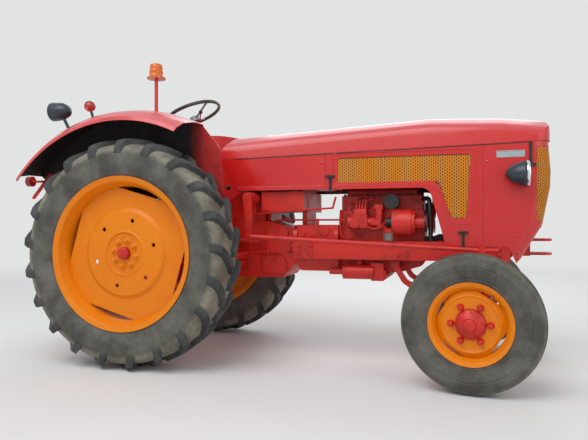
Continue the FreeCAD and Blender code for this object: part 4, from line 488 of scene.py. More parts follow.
pipe("feed_pipe", 0.0045, [(1420, -236, 905), (1470, -244, 880), (1530, -250, 878), (1570, -240, 930),
                           (1604, -236, 1000)])
pipe("return_pipe", 0.004, [(1345, -150, 1040), (1330, -200, 1040), (1328, -220, 990), (1350, -222, 968)])
pipe("filter_pipe", 0.0045, [(1448, -190, 990), (1480, -205, 1010), (1500, -212, 1020)])
pipe("drain_pipe", 0.006, [(1262, -160, 1000), (1262, -190, 985), (1262, -192, 830), (1300, -190, 812),
                           (1340, -160, 812)])
pipe("coolant_hose", 0.015, [(1792, -132, 1070), (1826, -190, 1076), (1838, -226, 1040),
                             (1842, -228, 900), (1842, -226, 806)], HOSE_RUBBER, "dark_plastic")
pipe("gearbox_pipe", 0.006, [(700, -176, 722), (800, -180, 722), (842, -182, 722), (850, -182, 706),
                             (850, -182, 690)])


def glass(name, tint, rough, clear=0.75):
    """Pressed glass, thick and slightly green, dull with dust on its outside."""
    return coated(name, tint, [("#8E8678", 0.35, 0.02, 0.4, 0.8)],
                  {"Transmission Weight": clear, "Roughness": rough, "IOR": 1.5})


BOWL_GLASS = glass("bowl_glass", "#B9C4B8", 0.12)
bowl_x, bowl_y, bowl_low, bowl_high, union_z = 1592, -312, 806, 856, 866
bowl = placed(lathe([(0, 0), (0, 0.018), (0.006, 0.024), (0.046, 0.024), (0.05, 0.02), (0.05, 0)], 28),
              (0, 0, 1), at(bowl_x, bowl_y, bowl_low))
show("sediment_bowl", bowl, BOWL_GLASS, 40, "chassis", "steel")
bowl_head = joined([placed(lathe(profile, steps), facing, at(bowl_x, y, z))
                    for profile, steps, facing, y, z in (
    ([(0, 0), (0, 0.026), (0.016, 0.028), (0.022, 0.02), (0.022, 0)], 28, (0, 0, 1), bowl_y, bowl_high),
    ([(0, 0), (0, 0.006), (0.012, 0.006), (0.012, 0)], 12, (0, 0, -1), bowl_y, bowl_low),
    ([(0, 0), (0, 0.007), (0.024, 0.007), (0.024, 0)], 12, (0, 1, 0), bowl_y + 20, union_z))])
show("bowl_head", bowl_head, CASTING_RED, 40, "chassis", "chassis_red")
pipe("bowl_bail", 0.0022, [(bowl_x + ahead, bowl_y, z) for ahead, z in (
    (-27, 866), (-29, 830), (-20, 792), (20, 792), (29, 830), (27, 866))], STEEL, "steel")
pipe("bowl_pipe", 0.0045, [(bowl_x, bowl_y + 40, union_z), (bowl_x - 30, bowl_y + 60, 880),
                           (1540, -236, 905), (1521, -214, 912)])


# Frame, front axle, steering rods and rear linkage: rolled channel, plate and forgings.
# The rails carry the engine, the axle swings under them and the links hang from the rear axle.
# All wear the castings' paint; only the power shaft's splines are bare.

for node in ("front_frame", "front_axle", "thrust_arms", "knuckle_right", "knuckle_left", "drop_arm",
             "lift_arms", "lower_links", "rear_hitch", "front_hitch"):
    dress(node, CASTING_RED, 0.002)
for node in ("drag_link", "tie_rod", "lift_rods"):
    dress(node, CASTING_RED, 0.001)
dress("pto_shaft", STEEL, 0.001)

RAIL_BOLTS = [(1010, 715), (1010, 772), (1090, 715), (1090, 772), (1650, 722), (1700, 722), (1980, 710),
              (2030, 710), (2240, 726), (2240, 768)]
fasteners("rail_bolts", hex_head(0.022, 0.013), side_spots(["front_frame"], RAIL_BOLTS))


# Wheels: pressed steel discs welded into rolled rims, held by domed nuts.
# The orange enamel is satin and even, a little bleached by the sun, with grime in the well.

def wheel_enamel(name, paint, faded, grime):
    """Sprayed wheel enamel: even and satin, bleached in 250 mm patches, grimy in small spots."""
    return coated(name, paint, [(faded, 0.4, 0.25, 0.4, 0.7), (grime, 0.3, 0.035, 0.56, 0.8, 8.0, 0.7)],
                  {"Roughness": (0, 0.33, 0.46), "IOR": 1.5, "Specular IOR Level": 0.32},
                  (0.012, 0.0004, 0.25))


WHEEL_ORANGE = wheel_enamel("wheel_enamel", "#E07A00", "#E68C10", "#8A4808")
# Out from the middle and up; ahead, the steering's shift, out and up; how the front axle's ends face.
REAR_WHEEL = (668, 725)
FRONT_WHEEL = (2095, 15.48, 656.05, 378)
STEERED = (0.12187, 0.99255)


def axle_of(which, side):
    """The centre of a wheel and the way its outer side faces; the front wheels are steered left."""
    sign = -1 if side == "right" else 1
    if which == "rear":
        return at(0, REAR_WHEEL[0] * sign, REAR_WHEEL[1]), Vector((0, sign, 0))
    ahead, shift, out, height = FRONT_WHEEL
    return at(ahead + shift * sign, out * sign, height), Vector((*STEERED, 0)) * sign


def round_axle(node, which, side, radius, count, first=0.0):
    """Spots on the outer side of a wheel's node, evenly round its axle."""
    centre, out = axle_of(which, side)
    across = out.cross(Vector((0, 0, 1)))
    spots = []
    for step in range(count):
        turn = first + math.tau * step / count
        offset = (across * math.cos(turn) + Vector((0, 0, 1)) * math.sin(turn)) * radius
        spots.append(on_surface([node], centre + out * 0.4 + offset, -out))
    return spots


REAR_NUT = [(-0.004, 0.021), (0.004, 0.021), (0.009, 0.014), (0.019, 0.0135), (0.024, 0.009), (0.026, 0)]
FRONT_NUT = [(-0.004, 0.019), (0.003, 0.019), (0.008, 0.0165), (0.022, 0.016), (0.030, 0.012), (0.034, 0)]
VALVE_STEM = [(-0.01, 0.0045), (0.014, 0.0045), (0.016, 0.0035), (0.024, 0.0035), (0.025, 0)]
for side in ("right", "left"):
    rear, front, hub = f"rear_rim_{side}", f"front_rim_{side}", f"front_hub_{side}"
    dress(rear, WHEEL_ORANGE, 0.003)
    dress(front, WHEEL_ORANGE, 0.002)
    dress(f"rear_axle_shaft_{side}", CASTING_RED, 0.003)
    dress(hub, CASTING_RED, 0.003)
    for name, head, node, on, ring, finish in (
            (f"rear_nuts_{side}", lathe(REAR_NUT, 16), rear, rear, ("rear", side, 0.081, 8, 0.2),
             WHEEL_ORANGE),
            (f"front_nuts_{side}", lathe(FRONT_NUT, 16), hub, front, ("front", side, 0.1025, 6),
             CASTING_RED),
            (f"cap_screws_{side}", hex_head(0.010, 0.006), hub, hub, ("front", side, 0.068, 5, 0.4),
             CASTING_RED),
            (f"valve_rear_{side}", lathe(VALVE_STEM, 12), rear, rear, ("rear", side, 0.425, 1, 2.2), STEEL),
            (f"valve_front_{side}", lathe(VALVE_STEM, 12), front, front, ("front", side, 0.192, 1, 2.2),
             STEEL)):
        fasteners(name, head, round_axle(on, *ring), finish, body_of[node], slot_of[node])


# Tyres: moulded black rubber, greyed by weather, with dried mud in every hollow.
# The rear ones have 21 slanted lugs a side that curve inwards, the front ones plain ribs.

def tyre_rubber(name, rubber, grey, mud):
    """Carbon-black rubber: moulded smooth, greyed by ozone, mud where the attribute says so."""
    material, tree, shader, place = new_material(name)
    wide = patches(tree, place, 0.14, 0.38, 0.68, 5.0)
    fine = patches(tree, place, 0.02, 0.35, 0.72, 8.0, 0.7)
    hollow = add_node(tree, "ShaderNodeAttribute", {"attribute_name": "mud"}).outputs["Fac"]
    shade = mixed(tree, times(tree, wide, 0.55), hex_colour(rubber), hex_colour(grey))
    dirty = times(tree, hollow, ranged(tree, wide, 0.45, 1.0))
    dirty = times(tree, dirty, ranged(tree, fine, 0.55, 1.0))
    shade = mixed(tree, dirty, shade, hex_colour(mud))
    tree.links.new(shade, shader.inputs["Base Color"])
    tree.links.new(ranged(tree, fine, 0.62, 0.85), shader.inputs["Roughness"])
    shader.inputs["IOR"].default_value = 1.52
    roughened(tree, shader, place, 0.008, 0.0008, 0.5)
    return material


TYRE_RUBBER = tyre_rubber("tyre_rubber", "#1D2023", "#52575B", "#A29A84")

REAR_CARCASS = [
    # across from the middle, and from the axle, in millimetres
    (127.7, 458), (128, 474), (131, 487), (139, 497), (140, 503), (147, 522), (152, 548), (153.5, 578),
    (152.5, 584), (153.5, 590), (152, 622), (144, 648), (132, 668), (110, 681), (80, 687), (40, 691),
]
LUG_FOOT = [(152, 626), (144, 650), (132, 668), (110, 681), (80, 687), (40, 691), (6, 692)]
LUG_TOP = [(156, 640), (155, 674), (145, 702), (116, 715), (80, 721), (40, 724.3), (10, 724.8)]
LUGS_A_SIDE = 21
LUG_REACH = 152
TREAD_RADIUS = 700


def both_ways(half):
    """A profile across a tyre from its right half, in metres."""
    return [(-across / 1000, out / 1000) for across, out in half] + \
           [(across / 1000, out / 1000) for across, out in reversed(half)]


def across_axle(mesh):
    """Turn a mesh drawn about Z so that it stands about Y."""
    mesh.transform(Matrix.Rotation(-math.pi / 2, 4, "X"))
    return mesh


def skin(form, rows):
    """Join sections with the same number of corners into a closed bar."""
    for low, high in zip(rows, rows[1:]):
        for corner in range(len(low)):
            after = (corner + 1) % len(low)
            form.faces.new((low[corner], low[after], high[after], high[corner]))
    form.faces.new(rows[0])
    form.faces.new(rows[-1])


def add_lug(form, side, swing):
    """One slanted lug at the top of the tyre, from its shoulder to the middle."""
    rows = []
    for step, ((foot_y, foot_r), (top_y, top_r)) in enumerate(zip(LUG_FOOT, LUG_TOP)):
        along = (LUG_FOOT[0][0] - foot_y) / (LUG_FOOT[0][0] - LUG_FOOT[-1][0])
        middle = LUG_REACH * along * (0.82 + 0.18 * along)
        row = []
        for across, out, half in ((foot_y, foot_r - 8, 33 - 4 * along), (top_y, top_r, 23 - 3 * along)):
            for end in (-1, 1):
                turn = (middle + end * half) / TREAD_RADIUS + swing
                row.append(form.verts.new((out / 1000 * math.sin(turn), side * across / 1000,
                                           out / 1000 * math.cos(turn))))
        rows.append([row[0], row[1], row[3], row[2]])
    skin(form, rows)


def round_the_axle(tree, given):
    """As many points as counted, all on the axle, each copy turned one step further."""
    points = add_node(tree, "GeometryNodePoints", None, {"Count": given["Count"]})
    pitch = add_node(tree, "ShaderNodeMath", {"operation": "DIVIDE"}, {0: math.tau, 1: given["Count"]})
    index = add_node(tree, "GeometryNodeInputIndex")
    turn = times(tree, index.outputs[0], pitch.outputs[0])
    euler = add_node(tree, "ShaderNodeCombineXYZ", None, {"Y": turn})
    rotation = add_node(tree, "FunctionNodeEulerToRotation", None, {0: euler.outputs[0]})
    return {"Points": points.outputs[0], "Rotation": rotation.outputs[0]}


SET_ROUND_AXLE = repeat_tree("set_round_axle", [("Count", "Int")], round_the_axle)
LUG_MUD = 0.1


def muddied(mesh, rule, wall_and_bed=None):
    """Say with an attribute where mud stays, from the place across and from the axle.

    Corners after the tyre's wall and bed belong to lugs, which the ground wipes nearly clean."""
    mud = mesh.attributes.new("mud", "FLOAT", "POINT")
    for index, vertex in enumerate(mesh.vertices):
        wiped = wall_and_bed and index >= wall_and_bed
        across, out = abs(vertex.co.y), math.hypot(vertex.co.x, vertex.co.z)
        mud.data[index].value = LUG_MUD if wiped else rule(across, out)


def fit_tyre(name, mesh, which, side):
    """Stand a tyre on its wheel and finish it."""
    centre, out = axle_of(which, side)
    sign = -1 if side == "right" else 1
    mesh.transform(Matrix.Translation(centre) @ Matrix.Rotation(-math.asin(out.x * sign), 4, "Z"))
    node = f"{which}_tyre_{side}"
    return show(name, mesh, TYRE_RUBBER, 38, body_of[node], slot_of[node], node)


def rear_mud(across, out):
    """Mud between the lugs and dust on the sidewall."""
    return 1.0 if out > 0.64 else 0.34


def front_mud(across, out):
    """Mud in the grooves and dust on the sidewall."""
    return 0.75 if across < 0.066 and 0.35 < out < 0.37 else 0.35


FRONT_SECTION = [
    # across from the middle, and from the axle, in millimetres
    (56.7, 206.4), (57, 219), (60, 228), (66, 236), (65.5, 241), (68, 243), (76, 256), (83, 276),
    (86.5, 298), (84, 302), (84, 305), (86.8, 309), (85, 322), (79, 340), (75.5, 342), (74.5, 348),
    (69, 357), (62.5, 362), (61, 356.5), (57.5, 356.5),
    (56, 366), (49, 370.5), (33, 373.5), (30.5, 366), (23.5, 366), (21, 375.4), (10, 376.2), (0, 376.4),
]

lugs = bmesh.new()
add_lug(lugs, -1, 0)
add_lug(lugs, 1, math.pi / LUGS_A_SIDE)
lug_pair = mesh_of(lugs)
for side in ("right", "left"):
    carcass = across_axle(lathe(both_ways(REAR_CARCASS), 108, True))
    tread = grown(bpy.data.meshes.new("ring"), lug_pair.copy(), SET_ROUND_AXLE, Count=LUGS_A_SIDE,
                  Finish=TYRE_RUBBER)
    lugged = joined([carcass, tread])
    muddied(lugged, rear_mud, len(carcass.vertices))
    rounded(fit_tyre(f"rear_tyre_{side}_lugged", lugged, "rear", side), 0.005, 40)
for side in ("right", "left"):
    ribbed = across_axle(lathe(both_ways(FRONT_SECTION), 96, True))
    muddied(ribbed, front_mud)
    fit_tyre(f"front_tyre_{side}_ribbed", ribbed, "front", side)


# Sheet metal: bonnet, side panels, nose, dash, tank and battery box, pressed from mild steel.
# The panels hang on rubber strap latches, and their gloss enamel mirrors the sky from above.

def sheen_on_top(tree, place):
    """A mask for the painted sheen on top: full where a surface faces up, and nought below 15 degrees."""
    normal = add_node(tree, "ShaderNodeNewGeometry").outputs["Normal"]
    split = add_node(tree, "ShaderNodeSeparateXYZ", None, {0: normal})
    return add_node(tree, "ShaderNodeMapRange", {"clamp": True},
                    {"Value": split.outputs["Z"], "From Min": 0.25, "From Max": 1.0}).outputs["Result"]


# Gloss machine enamel on pressed sheet: slightly wavy, faded in 500 mm patches, with a painted pink sheen on
# top.
BODY_RED = coated("sheet_enamel", "#C61616",
                  [("#CA302C", 0.35, 0.5, 0.35, 0.7, 3.0), ("#7A2A22", 0.16, 0.06, 0.5, 0.8, 8.0, 0.7),
                   ("#E08C98", 0.45, sheen_on_top)],
                  {"Roughness": (0, 0.28, 0.42), "IOR": 1.5, "Coat Weight": 0.35, "Coat Roughness": 0.12},
                  (0.18, 0.003, 0.2))
# Painted shade inside the bonnet: a dark red for the panels' inner faces, with grime patches over it.
BONNET_SHADE = painted_casting("bonnet_shade", "#5E1A18", "#1E1210", 0.8)


def inner(face):
    """Whether a face of a panel looks in at the engine."""
    along, across, up = face.normal
    return across * face.center.y < -0.05 or along < 0.2 and up < -0.3 or \
        along < -0.5 and abs(face.center.y) < 0.28


# Faces that look in at the engine take the painted shade of the bonnet's inside.
for node in ("hood", "side_panels", "vent_panels", "nose_cowl"):
    dress(node, BODY_RED, 0.0012, 32, (BONNET_SHADE, inner))
dress("dash_cowl", BODY_RED, 0.0012)
for node in ("battery_box", "fuel_tank"):
    dress(node, CASTING_RED, 0.003)
dress("latches", HOSE_RUBBER, 0.002)

PANELS = ["side_panels", "vent_panels", "nose_cowl"]
panel_screws = side_spots(PANELS, [(1160, 1306), (2176, 1280), (2344, 742), (2344, 702)])
fasteners("panel_screws", dome_head(0.009, 0.006), panel_screws, BODY_RED, slot="body_red")
fasteners("lip_rivets", dome_head(0.006, 0.004), side_spots(["hood"], [(2452, 1400), (2476, 1400)]),
          BODY_RED, body_of["hood"], "body_red")

# Beads pressed out of both of the nose's sides.
for name, route in (("nose_bead_low", [(2296, 838), (2340, 838), (2368, 839), (2386, 848), (2398, 868)]),
                    ("nose_bead_high", [(2399, 913), (2440, 913), (2476, 913)])):
    places = [place for place, facing in side_spots(["nose_cowl"], route)]
    beads = joined([tube(places[side::2], 0.0024, 8) for side in (0, 1)])
    show(name, beads, BODY_RED, 60, "chassis", "body_red")


def rubber_strip(name, sides):
    """Black rubber that panels bed on, and painted shadow under the bonnet's lip: on each side, a bar through
    sections of four corners.
    """
    form = bmesh.new()
    for sections in sides:
        skin(form, [[form.verts.new(corner) for corner in section] for section in sections])
    return show(name, mesh_of(form), HOSE_RUBBER, None, "chassis", "dark_plastic")


# The strip along the bonnet's lip is painted shadow: it draws the dark line that the lip's overhang casts.
LIP_SHADOW_SECTION = [(-1, -3), (1.1, -3), (1.1, 3), (-1, 3)]
SEAM_SECTION = [(-7, 286.4), (7, 286.4), (7, 284.4), (-7, 284.4)]
LIP_SHADOW_FROM, LIP_SHADOW_LENGTH, LIP_SHADOW_RISE, LIP_SHADOW_STEPS = (560, 1345), 1910, 43, 40
lip_shadow_line = side_spots(PANELS, [(LIP_SHADOW_FROM[0] + LIP_SHADOW_LENGTH * step / LIP_SHADOW_STEPS,
                                 LIP_SHADOW_FROM[1] + LIP_SHADOW_RISE * step / LIP_SHADOW_STEPS)
                                for step in range(LIP_SHADOW_STEPS + 1)])
rubber_strip("lip_seal", [[[place + Vector((0, out * side / 1000, up / 1000)) for out, up in LIP_SHADOW_SECTION]
                           for place, facing in lip_shadow_line[first::2]] for first, side in ((0, -1), (1, 1))])
for name, x, low, high in (("panel_seam_strip", 1186, 1134, 1358), ("nose_seam_strip", 2149.5, 776, 1380)):
    rubber_strip(name, [[[at(x + ahead, side * out, z) for ahead, out in SEAM_SECTION]
                         for z in (low, high)] for side in (-1, 1)])


def brushed(tree, place):
    """A mask of fine lines along X, where a sheet was brushed."""
    grain = add_node(tree, "ShaderNodeMapping", None, {"Vector": place, "Scale": (1, 1, 40)})
    return patches(tree, grain.outputs["Vector"], 0.05, 0.35, 0.7)


# Drawn aluminium strip: pale, brushed along its length, a little dull with age.
PLATE_METAL = coated("plate_aluminium", "#B9C4C6", [("#93A0A2", 1.0, brushed)],
                     {"Metallic": 0.85, "Roughness": (0, 0.3, 0.45)})
plate_low, plate_high, plate_back = at(2226, 0, 1302), at(2382, 0, 1342), 0.2888
form = bmesh.new()
for side in (-1, 1):
    skin(form, [[form.verts.new((x, side * (plate_back + out), z)) for x, z in (
        (plate_low.x + inset, plate_low.z + inset), (plate_high.x - inset, plate_low.z + inset),
        (plate_high.x - inset, plate_high.z - inset), (plate_low.x + inset, plate_high.z - inset))]
        for inset, out in ((0, 0.0), (0, 0.003), (0.004, 0.003), (0.006, 0.0015))])
show("nose_plate", mesh_of(form), PLATE_METAL, 30, "chassis", "steel")
plate_rivets = [(at(x, side * 290, 1322), (0, side, 0)) for x in (2236, 2372) for side in (-1, 1)]
fasteners("plate_rivets", dome_head(0.004, 0.003), plate_rivets, PLATE_METAL, slot="steel")


# Perforated sheets: 1.5 mm steel punched with upright slots, every other column shifted half a row.
# They sit behind the side windows and bend round the nose, in the wheels' orange. An even dark
# sheet behind them, drawn as wire gauze, is painted shade: it darkens the slots as the shade inside would.

MESH_OCHRE = wheel_enamel("mesh_enamel", "#D07E12", "#D9922E", "#7A4A1C")
SHADE_GAUZE = moulded_plastic("gauze_painted_shade", "#2A0E0A", "#451A12", 0.7)
COLUMN = 0.0135
ROW = 0.018
SLOT = (0.0066, 0.0112)
SHEET = 0.0015
SHEET_OUT = 285.7
SHADE_GAUZE_OUT = (283.9, 283.3)


def slotted_cell(thick):
    """One cell of the sheet about Z: a rectangle with a rounded slot through it."""
    half_x, half_y = COLUMN / 2, ROW / 2
    slot_x, slot_y = SLOT[0] / 2, SLOT[1] / 2
    edge = [(half_x, 0), (half_x, half_y), (-half_x, half_y), (-half_x, 0), (-half_x, -half_y),
            (half_x, -half_y)]
    hole = [(slot_x, -slot_y * 0.55), (slot_x, slot_y * 0.55), (slot_x * 0.5, slot_y),
            (-slot_x * 0.5, slot_y), (-slot_x, slot_y * 0.55), (-slot_x, -slot_y * 0.55),
            (-slot_x * 0.5, -slot_y), (slot_x * 0.5, -slot_y)]
    form = bmesh.new()
    edges = [[form.verts.new((x, y, z)) for x, y in edge] for z in (0, -thick)]
    holes = [[form.verts.new((x, y, z)) for x, y in hole] for z in (0, -thick)]
    for side, (rim, gap) in enumerate(zip(edges, holes)):
        faces = [(rim[0], rim[1], gap[2], gap[1]), (rim[1], rim[2], gap[3], gap[2]),
                 (rim[2], rim[3], gap[4], gap[3]), (rim[3], gap[5], gap[4]),
                 (rim[3], rim[4], gap[6], gap[5]), (rim[4], rim[5], gap[7], gap[6]),
                 (rim[5], rim[0], gap[0], gap[7]), (rim[0], gap[1], gap[0])]
        for face in faces:
            form.faces.new(face[::-1] if side else face)
    for step in range(8):
        after = (step + 1) % 8
        form.faces.new((holes[0][step], holes[0][after], holes[1][after], holes[1][step]))
    return mesh_of(form, False)


def staggered(width, height):
    """The middles of the cells that fill a field, every other column shifted half a row."""
    columns, rows = int(width / 2 / COLUMN) + 1, int(height / 2 / ROW) + 1
    return [(column * COLUMN, row * ROW + (ROW / 2 if column % 2 else 0))
            for column in range(-columns, columns + 1) for row in range(-rows, rows + 1)]


WINDOW = [(1256, 1341), (1256, 1162), (1884, 1162), (1962, 932), (2065, 932), (2093, 1341)]


def in_window(x, z):
    """Whether a place lies in the side window's outline, grown under the panel."""
    inside = False
    for (x1, z1), (x2, z2) in zip(WINDOW, WINDOW[1:] + WINDOW[:1]):
        if (z1 > z) != (z2 > z) and x < x1 + (z - z1) / (z2 - z1) * (x2 - x1):
            inside = not inside
    return inside


MOST_OF_CELL = 450  # nine tenths of a cell's half, in millimetres


def whole_cell(x, z):
    """Whether a cell lies wholly in the window's outline, but for the sheet's rim."""
    return all(in_window(x + i * COLUMN * MOST_OF_CELL, z + j * ROW * MOST_OF_CELL)
               for i in (-1, 1) for j in (-1, 1))


window_spots = []
field_x, field_z = 1675, 1136
for across, up in staggered(0.86, 0.42):
    x, z = field_x + across * 1000, field_z + up * 1000
    if whole_cell(x, z):
        window_spots += [(at(x, side * SHEET_OUT, z), (0, side, 0)) for side in (-1, 1)]
show("side_meshes", on_points(slotted_cell(SHEET), window_spots, MESH_OCHRE), MESH_OCHRE, None,
     "chassis", slot_of["vent_meshes"], "vent_meshes")
# A dark sheet behind each side window, drawn as wire gauze, is painted shade for the inside of the bonnet.
form = bmesh.new()
for side in (-1, 1):
    for out in SHADE_GAUZE_OUT:
        form.faces.new([form.verts.new(at(x, side * out, z)) for x, z in WINDOW])
show("side_gauze", mesh_of(form), SHADE_GAUZE, None, "chassis", "dark_plastic")

NOSE_LEAD = [(660, -181), (884, -50), (930, -36), (1130, 3), (1226, 6), (1420, -11)]
nose_half, nose_round, sheet_lead = 0.2875, 0.0875, 2525
grille_low, grille_high = 0.9265, 1.3605
half_height = (grille_high - grille_low) / 2
grille_rear = (at(2446, 0, 0).x, 0, 0)


def nose_front(height):
    """Where the front of the nose's sheet is at a height, in metres."""
    lead = NOSE_LEAD[-1][1] / 1000
    for (low, start), (high, end) in zip(NOSE_LEAD, NOSE_LEAD[1:]):
        if height * 1000 <= high:
            lead = (start + (end - start) * (height * 1000 - low) / (high - low)) / 1000
            break
    return at(sheet_lead, 0, 0).x + lead


def wrapped(co):
    """A place on the flat sheet (across, up, out) bent round the nose."""
    across, height = abs(co.x), co.y + (grille_low + grille_high) / 2
    straight = nose_half - nose_round
    radius = nose_round + co.z
    front = nose_front(height)
    if across < straight:
        x, y = front + co.z, across
    elif across < straight + nose_round * math.pi / 2:
        turn = (across - straight) / nose_round
        x, y = front - nose_round + radius * math.cos(turn), straight + radius * math.sin(turn)
    else:
        x = front - nose_round - (across - straight - nose_round * math.pi / 2)
        y = nose_half + co.z
    return Vector((x, math.copysign(y, co.x), height))


def cut(form, place, facing):
    """Cut a sheet along a plane and drop what lies before it."""
    bmesh.ops.bisect_plane(form, geom=form.verts[:] + form.edges[:] + form.faces[:],
                           plane_co=place, plane_no=facing, clear_outer=True)


grille_spots = [(Vector((across, up, 0)), (0, 0, 1)) for across, up in staggered(0.76, 0.46)]
form = bmesh.new()
form.from_mesh(on_points(slotted_cell(SHEET), grille_spots, MESH_OCHRE))
for side in (-1, 1):
    cut(form, (0, side * half_height, 0), (0, side, 0))
for vertex in form.verts:
    vertex.co = wrapped(vertex.co)
cut(form, grille_rear, (-1, 0, 0))
show("nose_mesh", mesh_of(form, False), MESH_OCHRE, 30, "chassis", slot_of["grille"], "grille")

# Behind the nose's sheet the same dark sheet is painted shade for the inside of the nose.
SHADE_GAUZE_DEPTH, SHADE_GAUZE_ROWS = -0.0022, 16
form = bmesh.new()
rows = []
for step in range(SHADE_GAUZE_ROWS + 1):
    up = -half_height + 2 * half_height * step / SHADE_GAUZE_ROWS
    rows.append([form.verts.new(wrapped(Vector((across / 1000, up, SHADE_GAUZE_DEPTH))))
                 for across in range(-342, 343, 12)])
for low, high in zip(rows, rows[1:]):
    for left in range(len(low) - 1):
        form.faces.new((low[left], low[left + 1], high[left + 1], high[left]))
cut(form, grille_rear, (-1, 0, 0))
show("nose_gauze", mesh_of(form, False), SHADE_GAUZE, None, "chassis", "dark_plastic")

# Flat bars down the front of the nose's sheet.
BAR_SECTION = [(-0.0005, -0.009), (0.0018, -0.007), (0.0018, 0.007), (-0.0005, 0.009)]
form = bmesh.new()
for across in (-0.16, -0.054, 0.054, 0.16):
    heights = [grille_low + (grille_high - grille_low) * step / 12 for step in range(13)]
    skin(form, [[form.verts.new((nose_front(height) + out, across + along, height))
                 for out, along in BAR_SECTION] for height in heights])
show("nose_bars", mesh_of(form), BODY_RED, 40, "chassis", "body_red")


# Fenders and footboards: pressed shells with a rolled lip, and chequered plate under the feet.
# The fenders are bolted to the axle and the footboards' brackets.

def shade_fade_front(tree, place):
    """A mask that is full at the front of the arch, where the painted shade has faded out."""
    along = add_node(tree, "ShaderNodeSeparateXYZ", None, {0: place}).outputs["X"]
    reach = {"Value": along, "From Min": at(330, 0, 0).x, "From Max": at(430, 0, 0).x}
    return add_node(tree, "ShaderNodeMapRange", {"clamp": True}, reach).outputs["Result"]


# Painted shade under the fenders: near black over the wheel, fading to red enamel towards the front of the
# arch.
ARCH_SHADE = coated("arch_shade", "#0E0706",
                    [("#B01A18", 1.0, shade_fade_front), ("#2A1210", 0.3, 0.06, 0.35, 0.7)],
                    {"Roughness": (1, 0.6, 0.85)}, (0.006, 0.001, 0.5))


def faces_tyre(face):
    """Whether a face of a fender looks at the wheel below it."""
    centre, out = axle_of("rear", "right")
    to_axle = Vector((centre.x - face.center.x, 0, centre.z - face.center.z)).normalized()
    wall = face.normal.y * face.center.y > 0.2 and abs(face.center.y) < 0.53
    return wall or face.normal.dot(to_axle) > 0.45


# Faces that look at the wheel take the painted shade.
dress("fenders", BODY_RED, 0.002, 40, (ARCH_SHADE, faces_tyre))
dress("platform", CASTING_RED, 0.001)

# The raised lozenges on both footboards, 30 mm apart.
pip_spots = []
for side in (-1, 1):
    for row in range(9):
        for column in range(8):
            out = 252 + column * 30 + (15 if row % 2 else 0)
            if out < 488:
                pip_spots.append((at(285 + row * 30, side * out, 665), (0, 0, 1)))
pip = lathe([(-0.001, 0.009), (0.0008, 0.008), (0.0018, 0.005), (0.002, 0)], 8)
pip.transform(Matrix.Diagonal((0.45, 1.25, 1, 1)))
fasteners("footboard_pips", pip, pip_spots, slot=slot_of["platform"])


# Seat: a pressed pan with a vinyl cushion and back pad on it, foam inside and piped edges.
# The cover is sewn from a top and a side band, so the piping runs round each face.

def vinyl(name, colour, worn):
    """Upholstery vinyl: a leather grain of 3 mm embossed in soft plastic, satin, paler where worn."""
    material = coated(name, colour, [(worn, 0.5, 0.12, 0.4, 0.75)], {"Roughness": (0, 0.42, 0.6), "IOR": 1.5})
    tree = material.node_tree
    place = add_node(tree, "ShaderNodeTexCoord").outputs["Object"]
    grain = add_node(tree, "ShaderNodeTexVoronoi", {"feature": "DISTANCE_TO_EDGE"},
                     {"Vector": place, "Scale": 1 / 0.003})
    bump = add_node(tree, "ShaderNodeBump", None,
                    {"Height": grain.outputs["Distance"], "Distance": 0.0005, "Strength": 0.5})
    tree.links.new(bump.outputs["Normal"], tree.nodes["Principled BSDF"].inputs["Normal"])
    return material


SEAT_VINYL = vinyl("seat_vinyl", "#1E1D1F", "#3B3A3C")


def swollen(name, outlines, cap, finish):
    """A pad between two outlines, blown up as its foam fills the cover, no point further than cap."""
    form = bmesh.new()
    skin(form, [[form.verts.new(at(*place)) for place in outline] for outline in outlines])
    pad = new_piece(name, mesh_of(form), finish)
    bevel = pad.modifiers.new("corners", "BEVEL")
    bevel.width = 0.014
    bevel.segments = 3
    remesh = pad.modifiers.new("remesh", "REMESH")
    remesh.mode = "VOXEL"
    remesh.voxel_size = 0.006
    pad.data = evaluated(pad)
    pad.modifiers.clear()
    start = [vertex.co.copy() for vertex in pad.data.vertices]
    cloth = pad.modifiers.new("foam", "CLOTH")
    cloth.settings.quality = 5
    cloth.settings.use_pressure = True
    cloth.settings.uniform_pressure_force = 4
    cloth.settings.effector_weights.gravity = 0
    cloth.point_cache.frame_start = 1
    cloth.point_cache.frame_end = 20
    for moment in range(1, 21):
        bpy.context.scene.frame_set(moment)
    puffed = evaluated(pad)
    for vertex, first in zip(puffed.vertices, start):
        moved = vertex.co - first
        if moved.length > cap:
            vertex.co = first + moved.normalized() * cap
    pad.modifiers.clear()
    bpy.context.scene.frame_set(1)
    pad.data = puffed
    pad.data.materials.clear()
    pad.data.materials.append(finish)
    pad.data.shade_smooth()
    finer = pad.modifiers.new("finer", "SUBSURF")
    finer.levels = 1
    finer.render_levels = 1
    return pad


SEAT_BASE = ([(-415, -193, 1241), (-85, -193, 1241), (-85, 193, 1241), (-415, 193, 1241)],
             [(-415, -193, 1284), (-85, -193, 1284), (-85, 193, 1284), (-415, 193, 1284)])
SEAT_BACK = ([(-446, -193, 1318), (-446, 193, 1318), (-484, 193, 1482), (-484, -193, 1482)],
             [(-413, -193, 1318), (-413, 193, 1318), (-450, 193, 1482), (-450, -193, 1482)])
for name, outlines, cap in (("seat_base_pad", SEAT_BASE, 0.010), ("seat_back_pad", SEAT_BACK, 0.009)):
    pad = swollen(name, outlines, cap, SEAT_VINYL)
    finish_piece(pad, body_of["seat_cushion"], slot_of["seat_cushion"], "seat_cushion")

dress("seat_frame", CASTING_RED, 0.001)
WELT = 0.0032


